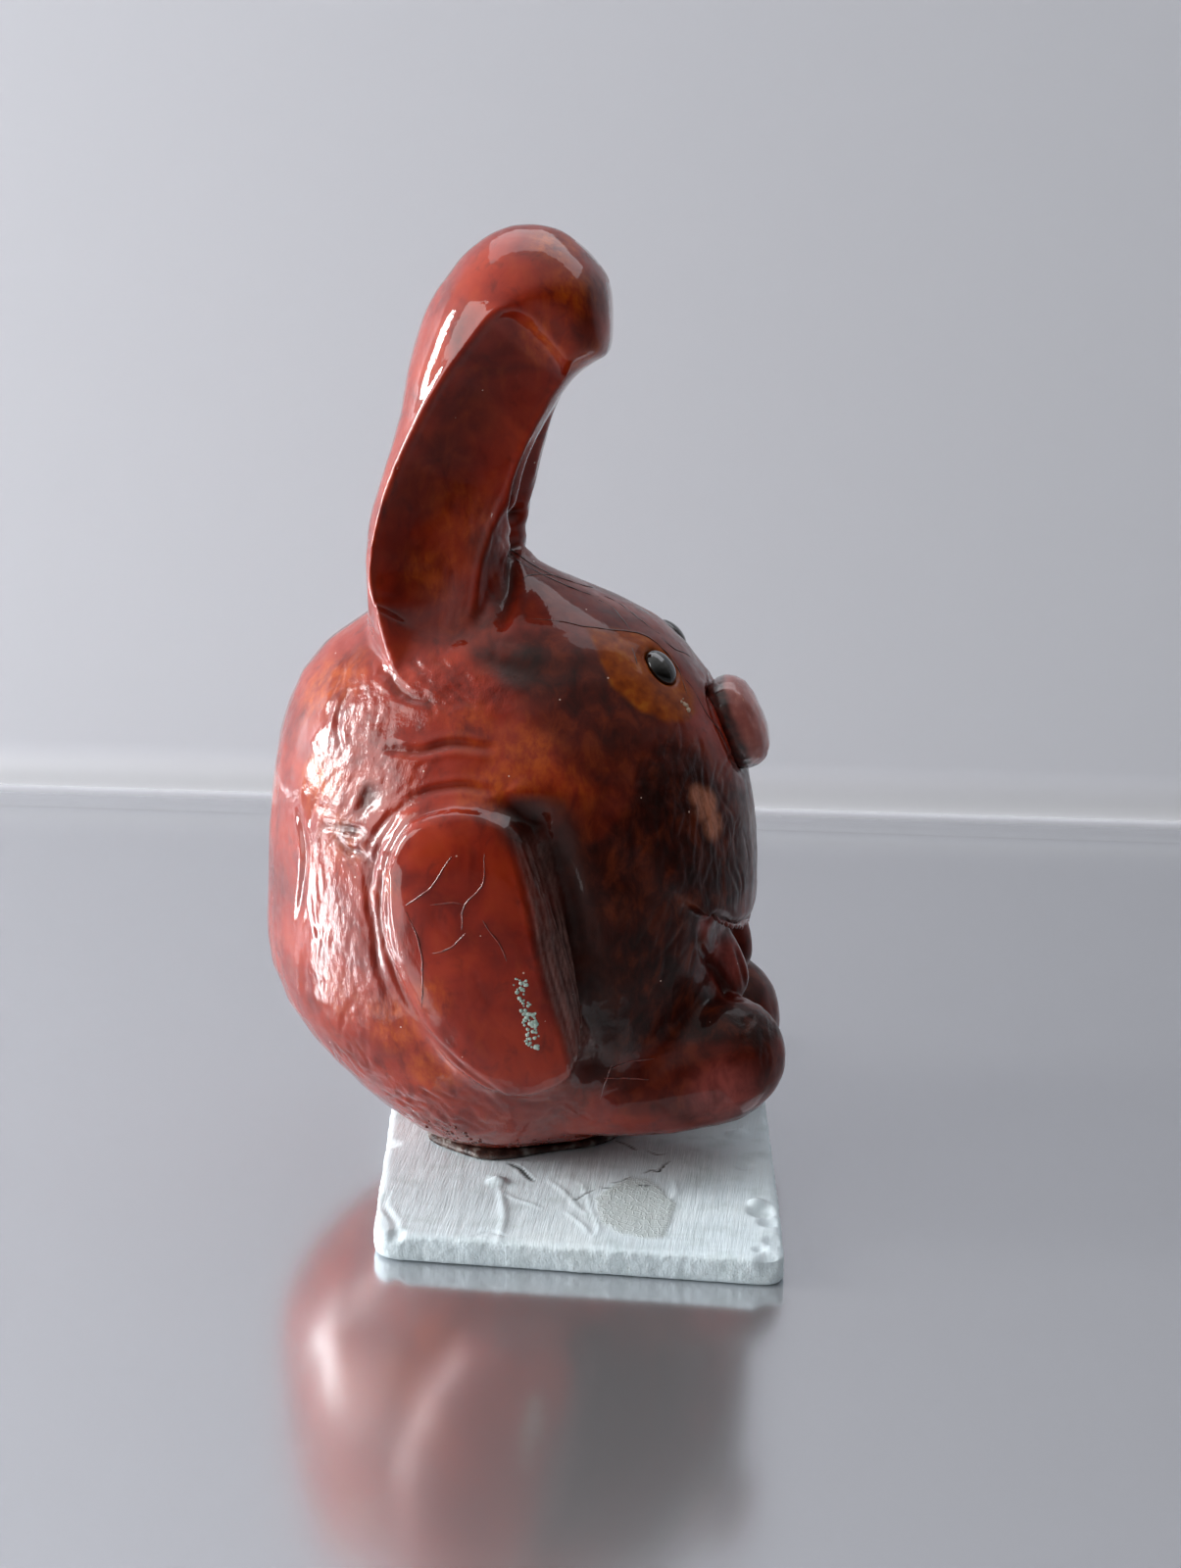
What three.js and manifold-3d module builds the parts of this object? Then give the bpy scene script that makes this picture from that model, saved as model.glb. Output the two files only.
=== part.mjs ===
// A rabbit figurine modelled by hand in clay, piece by piece, and glued to a painted slab.
// Millimetres, +Z up, +X the way the rabbit looks, origin under the middle of the slab.
import * as THREE from 'three';
import { mergeVertices } from 'three/addons/utils/BufferGeometryUtils.js';
import Module from 'manifold-3d';

const wasm = await Module();
wasm.setup();

// Joints between pieces
const seamGap = 0.3; // line left between two pieces that are pressed together
const glueThickness = 0.8; // adhesive between the slab and the flat of the trunk
const glueSpread = 3.2; // how far it is squeezed out past the flat
const glueCrest = 2; // height of the squeezed-out bead over the slab

// Base slab, a board cut by hand
const slabDepth = 63; // along the way the rabbit looks
const slabLength = 100; // from side to side
const slabSkew = 10; // how much longer its front edge is than its back edge
const slabThickness = 4.6;
const slabTurn = 6; // degrees, the rabbit isn't quite square to the board
const slabCorner = 4; // how far back the worn corners start
const slabEdge = 0.7; // softened upper and lower edges

// Trunk and head, one egg-shaped mass
const bodyAxisX = -12; // its widest line, behind the middle of the slab
const bodyFront = 41; // reach forward of that line
const bodyBack = 38.6; // reach behind it
const bodySide = 35; // reach to each side
const crownHeight = 101.5; // top of the head over the table
const bodyFlat = 1.6; // depth of the flat that the round belly is cut to
const crownBluntness = 2; // 2 is an ellipse, more is squarer
const bellyBluntness = 2.6;
const faceBluntness = 2.35; // the same for the front half seen from above
const chestSink = 3.5; // the chest lies this far behind the chin

// Neck seam, a shallow dome from the chin up to the nape
const chinHeight = 40.5;
const napeUnderCrown = 6.2;
const napeBehind = 6.5; // the seam ends this far behind the middle of the ears' root
const neckRise = 7; // how far the top of the trunk domes up into the head

// Ears, two cupped horns that curl forward and touch
const earBehind = 10; // the root lies behind the widest line of the body
const earRootDepth = 20; // and starts this far under the crown
const earRise = 25; // first handle of the ear's curve, over the root
const earLean = 0.5; // and behind it
const earTipForward = 17.6; // the tip lies in front of the widest line of the body
const earTipOver = 41.1; // and over the crown
const earCurlBack = 20; // second handle, behind the tip
const earCurlUp = 5.5; // and over it
const earWidth = 24.6; // from the back edge to the front edge, at its widest
const earThickness = 13; // from the middle plane out to the rim
const earRootFlare = 8; // the root is that much thicker
const earScoop = 3.8; // depth of the hollow in the outer face
const earGroove = 4.5; // depth of the groove between the ears in front
const earCornerBow = 0.6; // rounding of the bevel beside the groove
const earTipSlant = 0.34; // how far the lower edge of the tip leads, as a slope
const earTipBluntness = 2.5; // 2 is a round tip, more is squarer
const leftEarForward = 1.8; // the left ear stands a little further forward

// Haunches, thick oval slabs pressed on the sides
const haunchForward = 1.8; // in front of the widest line of the body
const haunchHeight = 45.5;
const haunchLength = 49;
const haunchBreadth = 29;
const haunchTilt = 19; // degrees, its top leans back
const haunchProud = 2.6; // how far its face stands out past the widest side of the body
const haunchDepth = 12; // how thick the slab is
const haunchEdge = 4.2; // rounding of its outer edge
const haunchBluntness = 2.3;

// Hind feet
const toeSide = 11.5; // toe from the middle plane
const toeForward = 46; // front of the toe, in front of the widest line of the body
const toeLift = 8.6; // between the slab and the underside of the toe
const toeRadius = 10.4;
const heelForward = 1; // back of the foot, hidden in the belly
const heelSide = 19;
const heelLift = 4.4;
const heelRadius = 7;
const footBow = 1; // the middle of the foot bows out
const footArch = 3; // and up

// Front paws
const pawSide = 5.4;
const pawRadius = 4.3;
const pawRootBehind = 15; // start of the paw behind the chin
const pawRootOver = 3.5; // and over it
const pawTipBehind = 3.2;
const pawSink = 4.7; // the middle of its tip lies this far under the top of the toe
const pawBow = 2; // the paw bows forward

// Nose pad
const noseUnderCrown = 27.2;
const noseLength = 15.5; // along the slope of the face
const noseWidth = 13;
const noseThickness = 8.5;
const noseProud = 1.2; // its middle stands in front of the face
const noseBluntness = 2.6;

// Eyes, oval beads set in the head
const eyeUnderCrown = 15.3;
const eyeTurn = 26; // degrees, from the nose round to the side
const eyeLength = 6.4;
const eyeBreadth = 5.2;
const eyeDepth = 3.2;
const eyeProud = 0.85; // how far the bead stands out
const eyeTilt = 35; // degrees, its front end hangs lower

// Facets
const bodySides = 48;
const bodyRings = 25;
const earRings = 26;
const haunchSides = 32;
const haunchRings = 5;
const limbSides = 16;
const limbRings = 14;
const padSides = 18;
const padRings = 10;
const glueSides = 36;
const neckSides = 32;
const neckRings = 9;

const seatHeight = slabThickness + glueThickness;
const bodyBottom = seatHeight - bodyFlat;
const bodyMiddle = (crownHeight + bodyBottom) / 2;
const bodyHalf = (crownHeight - bodyBottom) / 2;
const chinX = bodyAxisX + bodyFront;
const toeTop = slabThickness + toeLift + 2 * toeRadius;

const radians = THREE.MathUtils.degToRad;
const up = new THREE.Vector3(0, 0, 1);

// Only the positions, with shared corners merged
function bare(geometry) {
  const copy = geometry.clone();
  copy.deleteAttribute('normal');
  copy.deleteAttribute('uv');
  return mergeVertices(copy, 1e-4);
}

// The same skin with its faces pointing out
function facingOut(geometry) {
  const place = geometry.getAttribute('position');
  const corners = [new THREE.Vector3(), new THREE.Vector3(), new THREE.Vector3()];
  const faces = Array.from(geometry.getIndex().array);
  let volume = 0;
  for (let f = 0; f < faces.length; f += 3) {
    corners.forEach((corner, k) => corner.fromBufferAttribute(place, faces[f + k]));
    volume += corners[0].dot(corners[1].clone().cross(corners[2]));
  }
  if (volume < 0) geometry.setIndex(faces.reverse());
  return geometry;
}

// A closed skin over rings that have the same number of points, with a fan at each end
function loft(rings) {
  const sides = rings[0].length;
  const points = rings.flat();
  const faces = [];
  for (let r = 0; r < rings.length - 1; r += 1) {
    for (let i = 0; i < sides; i += 1) {
      const a = r * sides + i;
      const b = r * sides + ((i + 1) % sides);
      faces.push(a, b, b + sides, a, b + sides, a + sides);
    }
  }
  const lastStart = (rings.length - 1) * sides;
  for (const [ring, start] of [[rings[0], 0], [rings.at(-1), lastStart]]) {
    const middle = ring.reduce((sum, p) => sum.add(p), new THREE.Vector3()).divideScalar(sides);
    const hub = points.push(middle) - 1;
    for (let i = 0; i < sides; i += 1) {
      const a = start + i;
      const b = start + ((i + 1) % sides);
      if (start === 0) faces.push(hub, b, a);
      else faces.push(hub, a, b);
    }
  }
  const geometry = new THREE.BufferGeometry().setFromPoints(points);
  geometry.setIndex(faces);
  return facingOut(geometry);
}

// Moves a flat counter-clockwise loop outward by a clearance, along the normal at each point
function swell(loop, clearance) {
  return loop.map((p, i) => {
    const before = loop.at(i - 1);
    const after = loop[(i + 1) % loop.length];
    const edge = after.clone().sub(before).normalize();
    return new THREE.Vector2(p.x + edge.y * clearance, p.y - edge.x * clearance);
  });
}

// A smooth curve through rows of [place, value, value, ...]
function smoothTable(rows) {
  const places = rows.map((row) => row[0]);
  const values = rows.flatMap((row) => row.slice(1));
  return new THREE.CubicInterpolant(places, values, rows[0].length - 1);
}

function toSolid(geometry) {
  const mesh = bare(geometry);
  return new wasm.Manifold(new wasm.Mesh({
    numProp: 3,
    vertProperties: new Float32Array(mesh.getAttribute('position').array),
    triVerts: new Uint32Array(mesh.getIndex().array),
  }));
}

function toGeometry(solid) {
  const mesh = solid.getMesh();
  const geometry = new THREE.BufferGeometry();
  geometry.setAttribute('position', new THREE.BufferAttribute(mesh.vertProperties, 3));
  geometry.setIndex(new THREE.BufferAttribute(mesh.triVerts, 1));
  geometry.computeVertexNormals();
  return geometry;
}

// Fullness of the mass from its lowest point, -1, to the crown, 1: front, back and side, as
// shares of an even egg
const fullness = smoothTable([
  [-1, 1.2, 0.72, 1.1],
  [-0.75, 1, 0.89, 1.02],
  [-0.45, 0.99, 1.03, 1],
  [-0.1, 1, 1, 1],
  [0.3, 0.99, 1, 0.96],
  [0.6, 0.98, 1.03, 0.88],
  [0.77, 0.93, 0.93, 0.82],
  [0.9, 0.64, 0.8, 0.62],
  [1, 0.42, 0.6, 0.45],
]);

// Reach of the mass at a height: forward, back and to the side of its widest line
function reachAt(height, sink = 0) {
  const share = THREE.MathUtils.clamp((height - bodyMiddle) / bodyHalf, -1, 1);
  const power = share < 0 ? bellyBluntness : crownBluntness;
  const round = (1 - Math.abs(share) ** power) ** (1 / power);
  const [front, back, side] = fullness.evaluate(share);
  return {
    front: (bodyFront - sink) * front * round,
    back: bodyBack * back * round,
    side: bodySide * side * round,
  };
}

// A point on a level outline of the mass: an ellipse behind the widest line, blunter in front
function aroundMass(reach, turn) {
  const cosine = Math.cos(turn);
  const sine = Math.sin(turn);
  if (cosine < 0) return new THREE.Vector2(reach.back * cosine, reach.side * sine);
  const power = 2 / faceBluntness;
  const across = Math.sign(sine) * Math.abs(sine) ** power;
  return new THREE.Vector2(reach.front * cosine ** power, reach.side * across);
}

// The mass as level rings from its flat up to the crown
function massForm(sink, clearance = 0) {
  const lowest = Math.asin((seatHeight - bodyMiddle) / bodyHalf);
  const highest = radians(88);
  const rings = [];
  for (let r = 0; r <= bodyRings; r += 1) {
    const height = bodyMiddle + bodyHalf * Math.sin(lowest + ((highest - lowest) * r) / bodyRings);
    const reach = reachAt(height, sink);
    const loop = [];
    for (let i = 0; i < bodySides; i += 1) {
      loop.push(aroundMass(reach, (2 * Math.PI * i) / bodySides));
    }
    rings.push(swell(loop, clearance).map((p) => new THREE.Vector3(bodyAxisX + p.x, p.y, height)));
  }
  return loft(rings);
}

// All that lies under the neck seam, a domed block square to the seam's slope
function belowNeck(lift) {
  const chin = new THREE.Vector2(chinX, chinHeight);
  const napeX = bodyAxisX - earBehind - napeBehind;
  const nape = new THREE.Vector2(napeX, crownHeight - napeUnderCrown);
  const middle = chin.clone().lerp(nape, 0.5);
  const span = chin.distanceTo(nape) / 2;
  const radius = (span ** 2 + neckRise ** 2) / (2 * neckRise);
  const rim = span + bodySide;
  const profile = [];
  for (let i = 0; i <= neckRings; i += 1) {
    const turn = (Math.asin(rim / radius) * i) / neckRings;
    profile.push(new THREE.Vector2(radius * Math.sin(turn), radius * (Math.cos(turn) - 1)));
  }
  profile.push(new THREE.Vector2(rim, -2 * crownHeight), new THREE.Vector2(0, -2 * crownHeight));
  const block = new THREE.LatheGeometry(profile, neckSides);
  block.translate(0, neckRise + lift, 0);
  block.rotateX(Math.PI / 2);
  block.rotateY(Math.atan2(nape.y - chin.y, chin.x - nape.x));
  block.translate(middle.x, 0, middle.y);
  return toSolid(facingOut(bare(block)));
}

// Ear sections from root, 0, to tip, 1, as shares of the ear's sizes: reach back and forward of
// its curve, how far back the rim lies, how far forward and out the front corner lies, and the
// depths of the hollow and the groove
const earShape = smoothTable([
  [0, 0.8, 0.8, 0.2, 0.75, 0.97, 0, 0.9],
  [0.12, 0.9, 0.8, 0.62, 0.68, 0.92, 0.3, 1],
  [0.25, 0.91, 0.84, 0.9, 0.62, 0.82, 0.9, 1],
  [0.45, 0.9, 0.82, 0.7, 0.8, 0.76, 1, 0.7],
  [0.6, 1.12, 0.92, 0.4, 0.74, 0.76, 1, 0],
  [0.74, 1.16, 1, 0.3, 0.7, 0.78, 0.5, 0],
  [0.85, 1.155, 1.04, 0.22, 0.72, 0.82, 0, 0],
  [0.93, 0.95, 1.12, 0.22, 0.74, 0.84, -0.2, 0],
  [1, 0.45, 1.2, 0.3, 0.75, 0.85, -0.3, 0],
]);

// How much is left of a width on the way to the blunt tip
function closing(t) {
  const domeStart = 0.7;
  const along = Math.max(0, (t - domeStart) / (1 - domeStart));
  return (1 - along ** earTipBluntness) ** (1 / earTipBluntness);
}

// Points from one corner of a section up to the next, bowed by a flat vector
function bowed(from, to, count, bow, sharpness = 1) {
  const points = [];
  for (let i = 0; i < count; i += 1) {
    const share = Math.sin((Math.PI * i) / count) ** sharpness;
    points.push(from.clone().lerp(to, i / count).addScaledVector(bow, share));
  }
  return points;
}

// A section of the ear, x back and y out: from the back edge over the rounded back to the rim,
// through the hollow to the front corner, down the bevel and into the groove
function earSection(t) {
  const shape = earShape.evaluate(t);
  const [reachBack, reachFront, rimBack, cornerFront, cornerOut, hollow, groove] = shape;
  const left = closing(t);
  const over = (earWidth / 2) * reachBack * left;
  const under = (earWidth / 2) * reachFront * left;
  const flare = earRootFlare * Math.max(0, 1 - 2 * t) ** 2;
  const out = (earThickness + flare) * left;
  const inner = seamGap / 2;
  const step = (earThickness / 4) * Math.min(groove, 1) * left;
  const back = new THREE.Vector2(over, inner);
  const rim = new THREE.Vector2(over * rimBack, out);
  const corner = new THREE.Vector2(-under * cornerFront, out * cornerOut);
  const front = new THREE.Vector2(-under, inner + step);
  const bottom = new THREE.Vector2(-under + earGroove * groove, inner);
  const straight = new THREE.Vector2();
  return [
    ...bowed(back, rim, 6, new THREE.Vector2(over, over).multiplyScalar(0.11)),
    ...bowed(rim, corner, 9, new THREE.Vector2(0, -earScoop * hollow * left), 1.2),
    ...bowed(corner, front, 4, new THREE.Vector2(-earCornerBow, earCornerBow)),
    ...bowed(front, bottom, 2, straight),
    ...bowed(bottom, back, 4, straight),
  ];
}

// One ear, its sections square to a curve that rises, leans and curls forward
function earForm(side, clearance = 0) {
  const rootX = bodyAxisX - earBehind;
  const rootHeight = crownHeight - earRootDepth;
  const tipX = bodyAxisX + earTipForward;
  const tipHeight = crownHeight + earTipOver;
  const curve = new THREE.CubicBezierCurve3(
    new THREE.Vector3(rootX, 0, rootHeight),
    new THREE.Vector3(rootX - earLean, 0, rootHeight + earRise),
    new THREE.Vector3(tipX - earCurlBack, 0, tipHeight + earCurlUp),
    new THREE.Vector3(tipX, 0, tipHeight),
  );
  const rings = [];
  for (let r = 0; r <= earRings; r += 1) {
    const t = 0.992 * (r / earRings) ** 0.9;
    const heading = curve.getTangent(t);
    const end = Number(r === earRings) - Number(r === 0);
    const middle = curve.getPoint(t).addScaledVector(heading, end * clearance);
    const forward = side > 0 ? leftEarForward * Math.sin(Math.PI * Math.min(t / 0.6, 1)) : 0;
    const slant = earTipSlant * THREE.MathUtils.smoothstep(t, 0.45, 1);
    rings.push(swell(earSection(t), clearance).map((p) => new THREE.Vector3(
      middle.x + forward - (heading.z + heading.x * slant) * p.x,
      side * p.y,
      middle.z + (heading.x - heading.z * slant) * p.x,
    )));
  }
  return loft(rings);
}

// A haunch: oval levels from the seat in the body out to a face with a rounded edge
function haunchForm(side, clearance = 0) {
  const middleX = bodyAxisX + haunchForward;
  const face = bodySide + haunchProud + clearance;
  const levels = [[face - haunchDepth - 2 * clearance, 0.9], [face - haunchEdge * 1.3, 1]];
  for (let i = 1; i <= haunchRings; i += 1) {
    const turn = (Math.PI * i) / (2 * haunchRings);
    levels.push([face - haunchEdge * (1 - Math.sin(turn)), 1 - 0.93 * (1 - Math.cos(turn))]);
  }
  const oval = (value) => Math.sign(value) * Math.abs(value) ** (2 / haunchBluntness);
  return loft(levels.map(([out, share]) => {
    const loop = [];
    for (let i = 0; i < haunchSides; i += 1) {
      const turn = (2 * Math.PI * i) / haunchSides;
      loop.push(new THREE.Vector2(
        oval(Math.cos(turn)) * (haunchBreadth / 2) * share,
        oval(Math.sin(turn)) * (haunchLength / 2) * share,
      ));
    }
    return swell(loop, clearance).map((p) => {
      p.rotateAround(new THREE.Vector2(), radians(haunchTilt));
      return new THREE.Vector3(middleX + p.x, side * out, haunchHeight + p.y);
    });
  }));
}

// A limb with round ends along a curve, with its radii from root to tip
function limbForm(points, radii, clearance) {
  const curve = new THREE.CatmullRomCurve3(points);
  const length = curve.getLength();
  const rings = [];
  for (let r = 0; r <= limbRings; r += 1) {
    const t = 0.5 - 0.5 * Math.cos((Math.PI * (r + 0.25)) / (limbRings + 0.5));
    const place = t * (radii.length - 1);
    const k = Math.min(Math.floor(place), radii.length - 2);
    const full = THREE.MathUtils.lerp(radii[k], radii[k + 1], place - k) + clearance;
    const endRadius = t < 0.5 ? radii[0] : radii.at(-1);
    const dome = Math.min((Math.min(t, 1 - t) * length) / endRadius, 1);
    const radius = full * Math.sqrt(1 - (1 - dome) ** 2);
    const heading = curve.getTangentAt(t);
    const lead = clearance * (1 - dome) * Math.sign(t - 0.5);
    const middle = curve.getPointAt(t).addScaledVector(heading, lead);
    const aside = up.clone().cross(heading).normalize();
    const over = heading.clone().cross(aside);
    const ring = [];
    for (let i = 0; i < limbSides; i += 1) {
      const turn = (2 * Math.PI * i) / limbSides;
      const point = middle.clone().addScaledVector(aside, radius * Math.cos(turn));
      ring.push(point.addScaledVector(over, radius * Math.sin(turn)));
    }
    rings.push(ring);
  }
  return loft(rings);
}

function footForm(side, clearance = 0) {
  const heelHeight = slabThickness + heelLift + heelRadius;
  const heel = new THREE.Vector3(bodyAxisX + heelForward, side * heelSide, heelHeight);
  const toe = new THREE.Vector3(bodyAxisX + toeForward, side * toeSide, toeTop - toeRadius);
  const middle = heel.clone().lerp(toe, 0.5);
  middle.y += side * footBow;
  middle.z = heel.z + footArch;
  const radii = [heelRadius, (heelRadius + toeRadius) / 2, toeRadius, toeRadius];
  return limbForm([heel, middle, toe], radii, clearance);
}

function pawForm(side, clearance = 0) {
  const rootSide = side * (pawSide + pawRadius / 2);
  const root = new THREE.Vector3(chinX - pawRootBehind, rootSide, chinHeight + pawRootOver);
  const tip = new THREE.Vector3(chinX - pawTipBehind, side * pawSide, toeTop - pawSink);
  const middle = root.clone().lerp(tip, 0.5);
  middle.x += pawBow;
  middle.z += pawBow;
  return limbForm([root, middle, tip], [pawRadius, pawRadius, pawRadius], clearance);
}

// A rounded pad about the origin, from an even ball
function padForm(size, squareness, clearance) {
  const pad = new THREE.SphereGeometry(1, padSides, padRings);
  const place = pad.getAttribute('position');
  const half = size.clone().multiplyScalar(0.5).addScalar(clearance);
  const p = new THREE.Vector3();
  for (let i = 0; i < place.count; i += 1) {
    p.fromBufferAttribute(place, i);
    const sum = p.toArray().reduce((total, v) => total + Math.abs(v) ** squareness, 0);
    p.divideScalar(sum ** (1 / squareness)).multiply(half);
    place.setXYZ(i, p.x, p.y, p.z);
  }
  return bare(pad);
}

// The nose lies on the slope of the face
function noseForm(clearance = 0) {
  const height = crownHeight - noseUnderCrown;
  const quarter = noseLength / 4;
  const fall = reachAt(height - quarter).front - reachAt(height + quarter).front;
  const pad = padForm(
    new THREE.Vector3(noseThickness, noseWidth, noseLength),
    noseBluntness,
    clearance,
  );
  pad.rotateY(-Math.atan2(fall, 2 * quarter));
  pad.translate(bodyAxisX + reachAt(height).front + noseProud, 0, height);
  return pad;
}

// A point on the side of the head at a height, turned away from the nose
function onHead(turn, height, side) {
  const level = aroundMass(reachAt(height), turn);
  return new THREE.Vector3(bodyAxisX + level.x, side * level.y, height);
}

function eyeForm(side, clearance = 0) {
  const height = crownHeight - eyeUnderCrown;
  const turn = radians(eyeTurn);
  const step = eyeBreadth / 10;
  const point = onHead(turn, height, side);
  const aside = onHead(turn + step / bodySide, height, side).sub(point);
  const higher = onHead(turn, height + step, side).sub(point);
  const out = aside.cross(higher).normalize().multiplyScalar(side);
  const across = new THREE.Vector3(1, 0, 0).addScaledVector(out, -out.x).normalize();
  const pad = padForm(new THREE.Vector3(eyeLength, eyeBreadth, eyeDepth), 2, clearance);
  pad.rotateZ(side * radians(eyeTilt));
  pad.applyMatrix4(new THREE.Matrix4().makeBasis(across, out.clone().cross(across), out));
  point.addScaledVector(out, eyeProud - eyeDepth / 2);
  pad.translate(point.x, point.y, point.z);
  return pad;
}

// A four-sided board with worn corners, its front edge the longer one
function slabForm() {
  const x = slabDepth / 2;
  const y = slabLength / 2;
  const corners = [
    new THREE.Vector2(-x, slabSkew / 2 - y),
    new THREE.Vector2(x, -slabSkew / 2 - y),
    new THREE.Vector2(x, y),
    new THREE.Vector2(-x, y),
  ];
  const shape = new THREE.Shape();
  corners.forEach((corner, i) => {
    const [start, end] = [corners.at(i - 1), corners[(i + 1) % 4]].map(
      (next) => next.clone().sub(corner).setLength(slabCorner).add(corner),
    );
    if (i === 0) shape.moveTo(start.x, start.y);
    else shape.lineTo(start.x, start.y);
    shape.quadraticCurveTo(corner.x, corner.y, end.x, end.y);
  });
  const slab = new THREE.ExtrudeGeometry(shape, {
    depth: slabThickness - 2 * slabEdge,
    bevelThickness: slabEdge,
    bevelSize: slabEdge,
    bevelOffset: -slabEdge,
    bevelSegments: 3,
    curveSegments: 5,
  });
  slab.translate(0, 0, slabEdge);
  slab.rotateZ(radians(slabTurn));
  return slab;
}

// The adhesive: a low pillow with an uneven edge
function glueForm() {
  const reach = reachAt(seatHeight);
  const levels = [[0, 1], [0.35, 1.02], [0.75, 0.96], [1, 0.85]];
  return loft(levels.map(([rise, spread]) => {
    const ring = [];
    for (let i = 0; i < glueSides; i += 1) {
      const turn = (2 * Math.PI * i) / glueSides;
      const squeezed = glueSpread * (1 + 0.3 * Math.sin(3 * turn + 1) + 0.2 * Math.sin(7 * turn));
      const long = (Math.cos(turn) > 0 ? reach.front : reach.back) + squeezed;
      ring.push(new THREE.Vector3(
        bodyAxisX + long * spread * Math.cos(turn),
        (reach.side + squeezed) * spread * Math.sin(turn),
        slabThickness + glueCrest * rise,
      ));
    }
    return ring;
  }));
}

// Each piece is cut by the pieces that were set before it, with the seam's clearance
const solid = {};
const trunkSeat = toSolid(massForm(chestSink, seamGap));
const earSeat = trunkSeat.intersect(belowNeck(seamGap / 2));
let trunk = toSolid(massForm(chestSink)).intersect(belowNeck(-seamGap / 2));
let head = toSolid(massForm(0)).subtract(belowNeck(seamGap / 2));
for (const [name, side] of [['right', -1], ['left', 1]]) {
  const footSeat = toSolid(footForm(side, seamGap));
  solid[`hind_foot_${name}`] = toSolid(footForm(side));
  solid[`haunch_${name}`] = toSolid(haunchForm(side)).subtract(footSeat);
  solid[`front_paw_${name}`] = toSolid(pawForm(side)).subtract(footSeat);
  solid[`ear_${name}`] = toSolid(earForm(side)).subtract(earSeat);
  solid[`eye_${name}`] = toSolid(eyeForm(side));
  trunk = trunk.subtract(footSeat);
  for (const limb of [haunchForm, pawForm]) {
    const seat = toSolid(limb(side, seamGap));
    trunk = trunk.subtract(seat);
    head = head.subtract(seat);
  }
  head = head.subtract(toSolid(earForm(side, seamGap)));
  head = head.subtract(toSolid(eyeForm(side, seamGap)));
}
solid.trunk = trunk;
solid.head = head.subtract(toSolid(noseForm(seamGap)));
solid.nose = toSolid(noseForm());
solid.glue_bed = toSolid(glueForm()).subtract(trunkSeat);

// Finishes
const glazedClay = { color: 0x8a3426, roughness: 0.15, metalness: 0 };
const paintedBoard = { color: 0xb9c4c8, roughness: 0.8, metalness: 0 };
const pinkGlaze = { color: 0xa8605a, roughness: 0.2, metalness: 0 };
const blackBead = { color: 0x0b0806, roughness: 0.05, metalness: 0 };
const driedGlue = { color: 0x6f6a5a, roughness: 0.3, metalness: 0 };
const finishOf = {
  base_slab: paintedBoard,
  glue_bed: driedGlue,
  nose: pinkGlaze,
  eye_right: blackBead,
  eye_left: blackBead,
};

const rabbit = new THREE.Group();
function addPiece(name, geometry) {
  const material = new THREE.MeshStandardMaterial(finishOf[name] ?? glazedClay);
  const mesh = new THREE.Mesh(geometry, material);
  mesh.name = name;
  rabbit.add(mesh);
}
addPiece('base_slab', slabForm());
for (const [name, body] of Object.entries(solid)) addPiece(name, toGeometry(body));

export default rabbit;
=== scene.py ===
# %% [markdown]
# # A glazed clay rabbit
# The real object is modelled by hand: an egg of clay for the trunk, a head, two cupped ears that
# curl forward, oval haunches, feet and small paws, all pressed together, painted brick red and
# flooded with glossy varnish. It is glued to a board with thick pale paint. The CAD solids give
# every piece its place and size. This script smooths the clay pieces into one another, works their
# surface with tool marks, and finishes each piece with its paint.

# %% Load the CAD frame and keep its box
import itertools
import math

import bmesh
import bpy
import numpy as np
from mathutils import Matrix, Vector, kdtree, noise
from mathutils.bvhtree import BVHTree


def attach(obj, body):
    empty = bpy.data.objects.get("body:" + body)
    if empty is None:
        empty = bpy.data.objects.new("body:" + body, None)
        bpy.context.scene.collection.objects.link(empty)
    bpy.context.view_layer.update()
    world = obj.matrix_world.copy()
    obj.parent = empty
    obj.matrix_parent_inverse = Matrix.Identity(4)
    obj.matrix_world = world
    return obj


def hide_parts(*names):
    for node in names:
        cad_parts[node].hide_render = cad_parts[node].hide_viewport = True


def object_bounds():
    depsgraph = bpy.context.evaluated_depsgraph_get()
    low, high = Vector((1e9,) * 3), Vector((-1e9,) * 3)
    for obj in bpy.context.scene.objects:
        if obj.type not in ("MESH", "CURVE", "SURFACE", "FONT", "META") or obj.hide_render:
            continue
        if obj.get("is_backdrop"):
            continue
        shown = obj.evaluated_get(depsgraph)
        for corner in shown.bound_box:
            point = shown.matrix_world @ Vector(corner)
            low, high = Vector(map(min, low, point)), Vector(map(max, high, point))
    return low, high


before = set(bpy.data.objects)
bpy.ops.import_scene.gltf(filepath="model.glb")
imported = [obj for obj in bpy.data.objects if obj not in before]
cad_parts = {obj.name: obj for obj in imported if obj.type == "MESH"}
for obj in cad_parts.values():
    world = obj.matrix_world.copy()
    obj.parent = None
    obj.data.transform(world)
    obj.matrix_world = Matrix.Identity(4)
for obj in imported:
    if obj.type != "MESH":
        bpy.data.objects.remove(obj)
cad_box = [list(map(float, corner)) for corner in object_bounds()]
MM = 0.001
print("CAD box in mm:", [[round(v / MM, 1) for v in corner] for corner in cad_box])

# %% [markdown]
# ## Camera
# A long lens stands half a metre from the rabbit's right side and looks down on it a little. The
# script also needs to know where a spot of the picture lies on the clay, so one function turns a
# picture position into a ray, and another turns points in space into picture positions.

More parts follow.
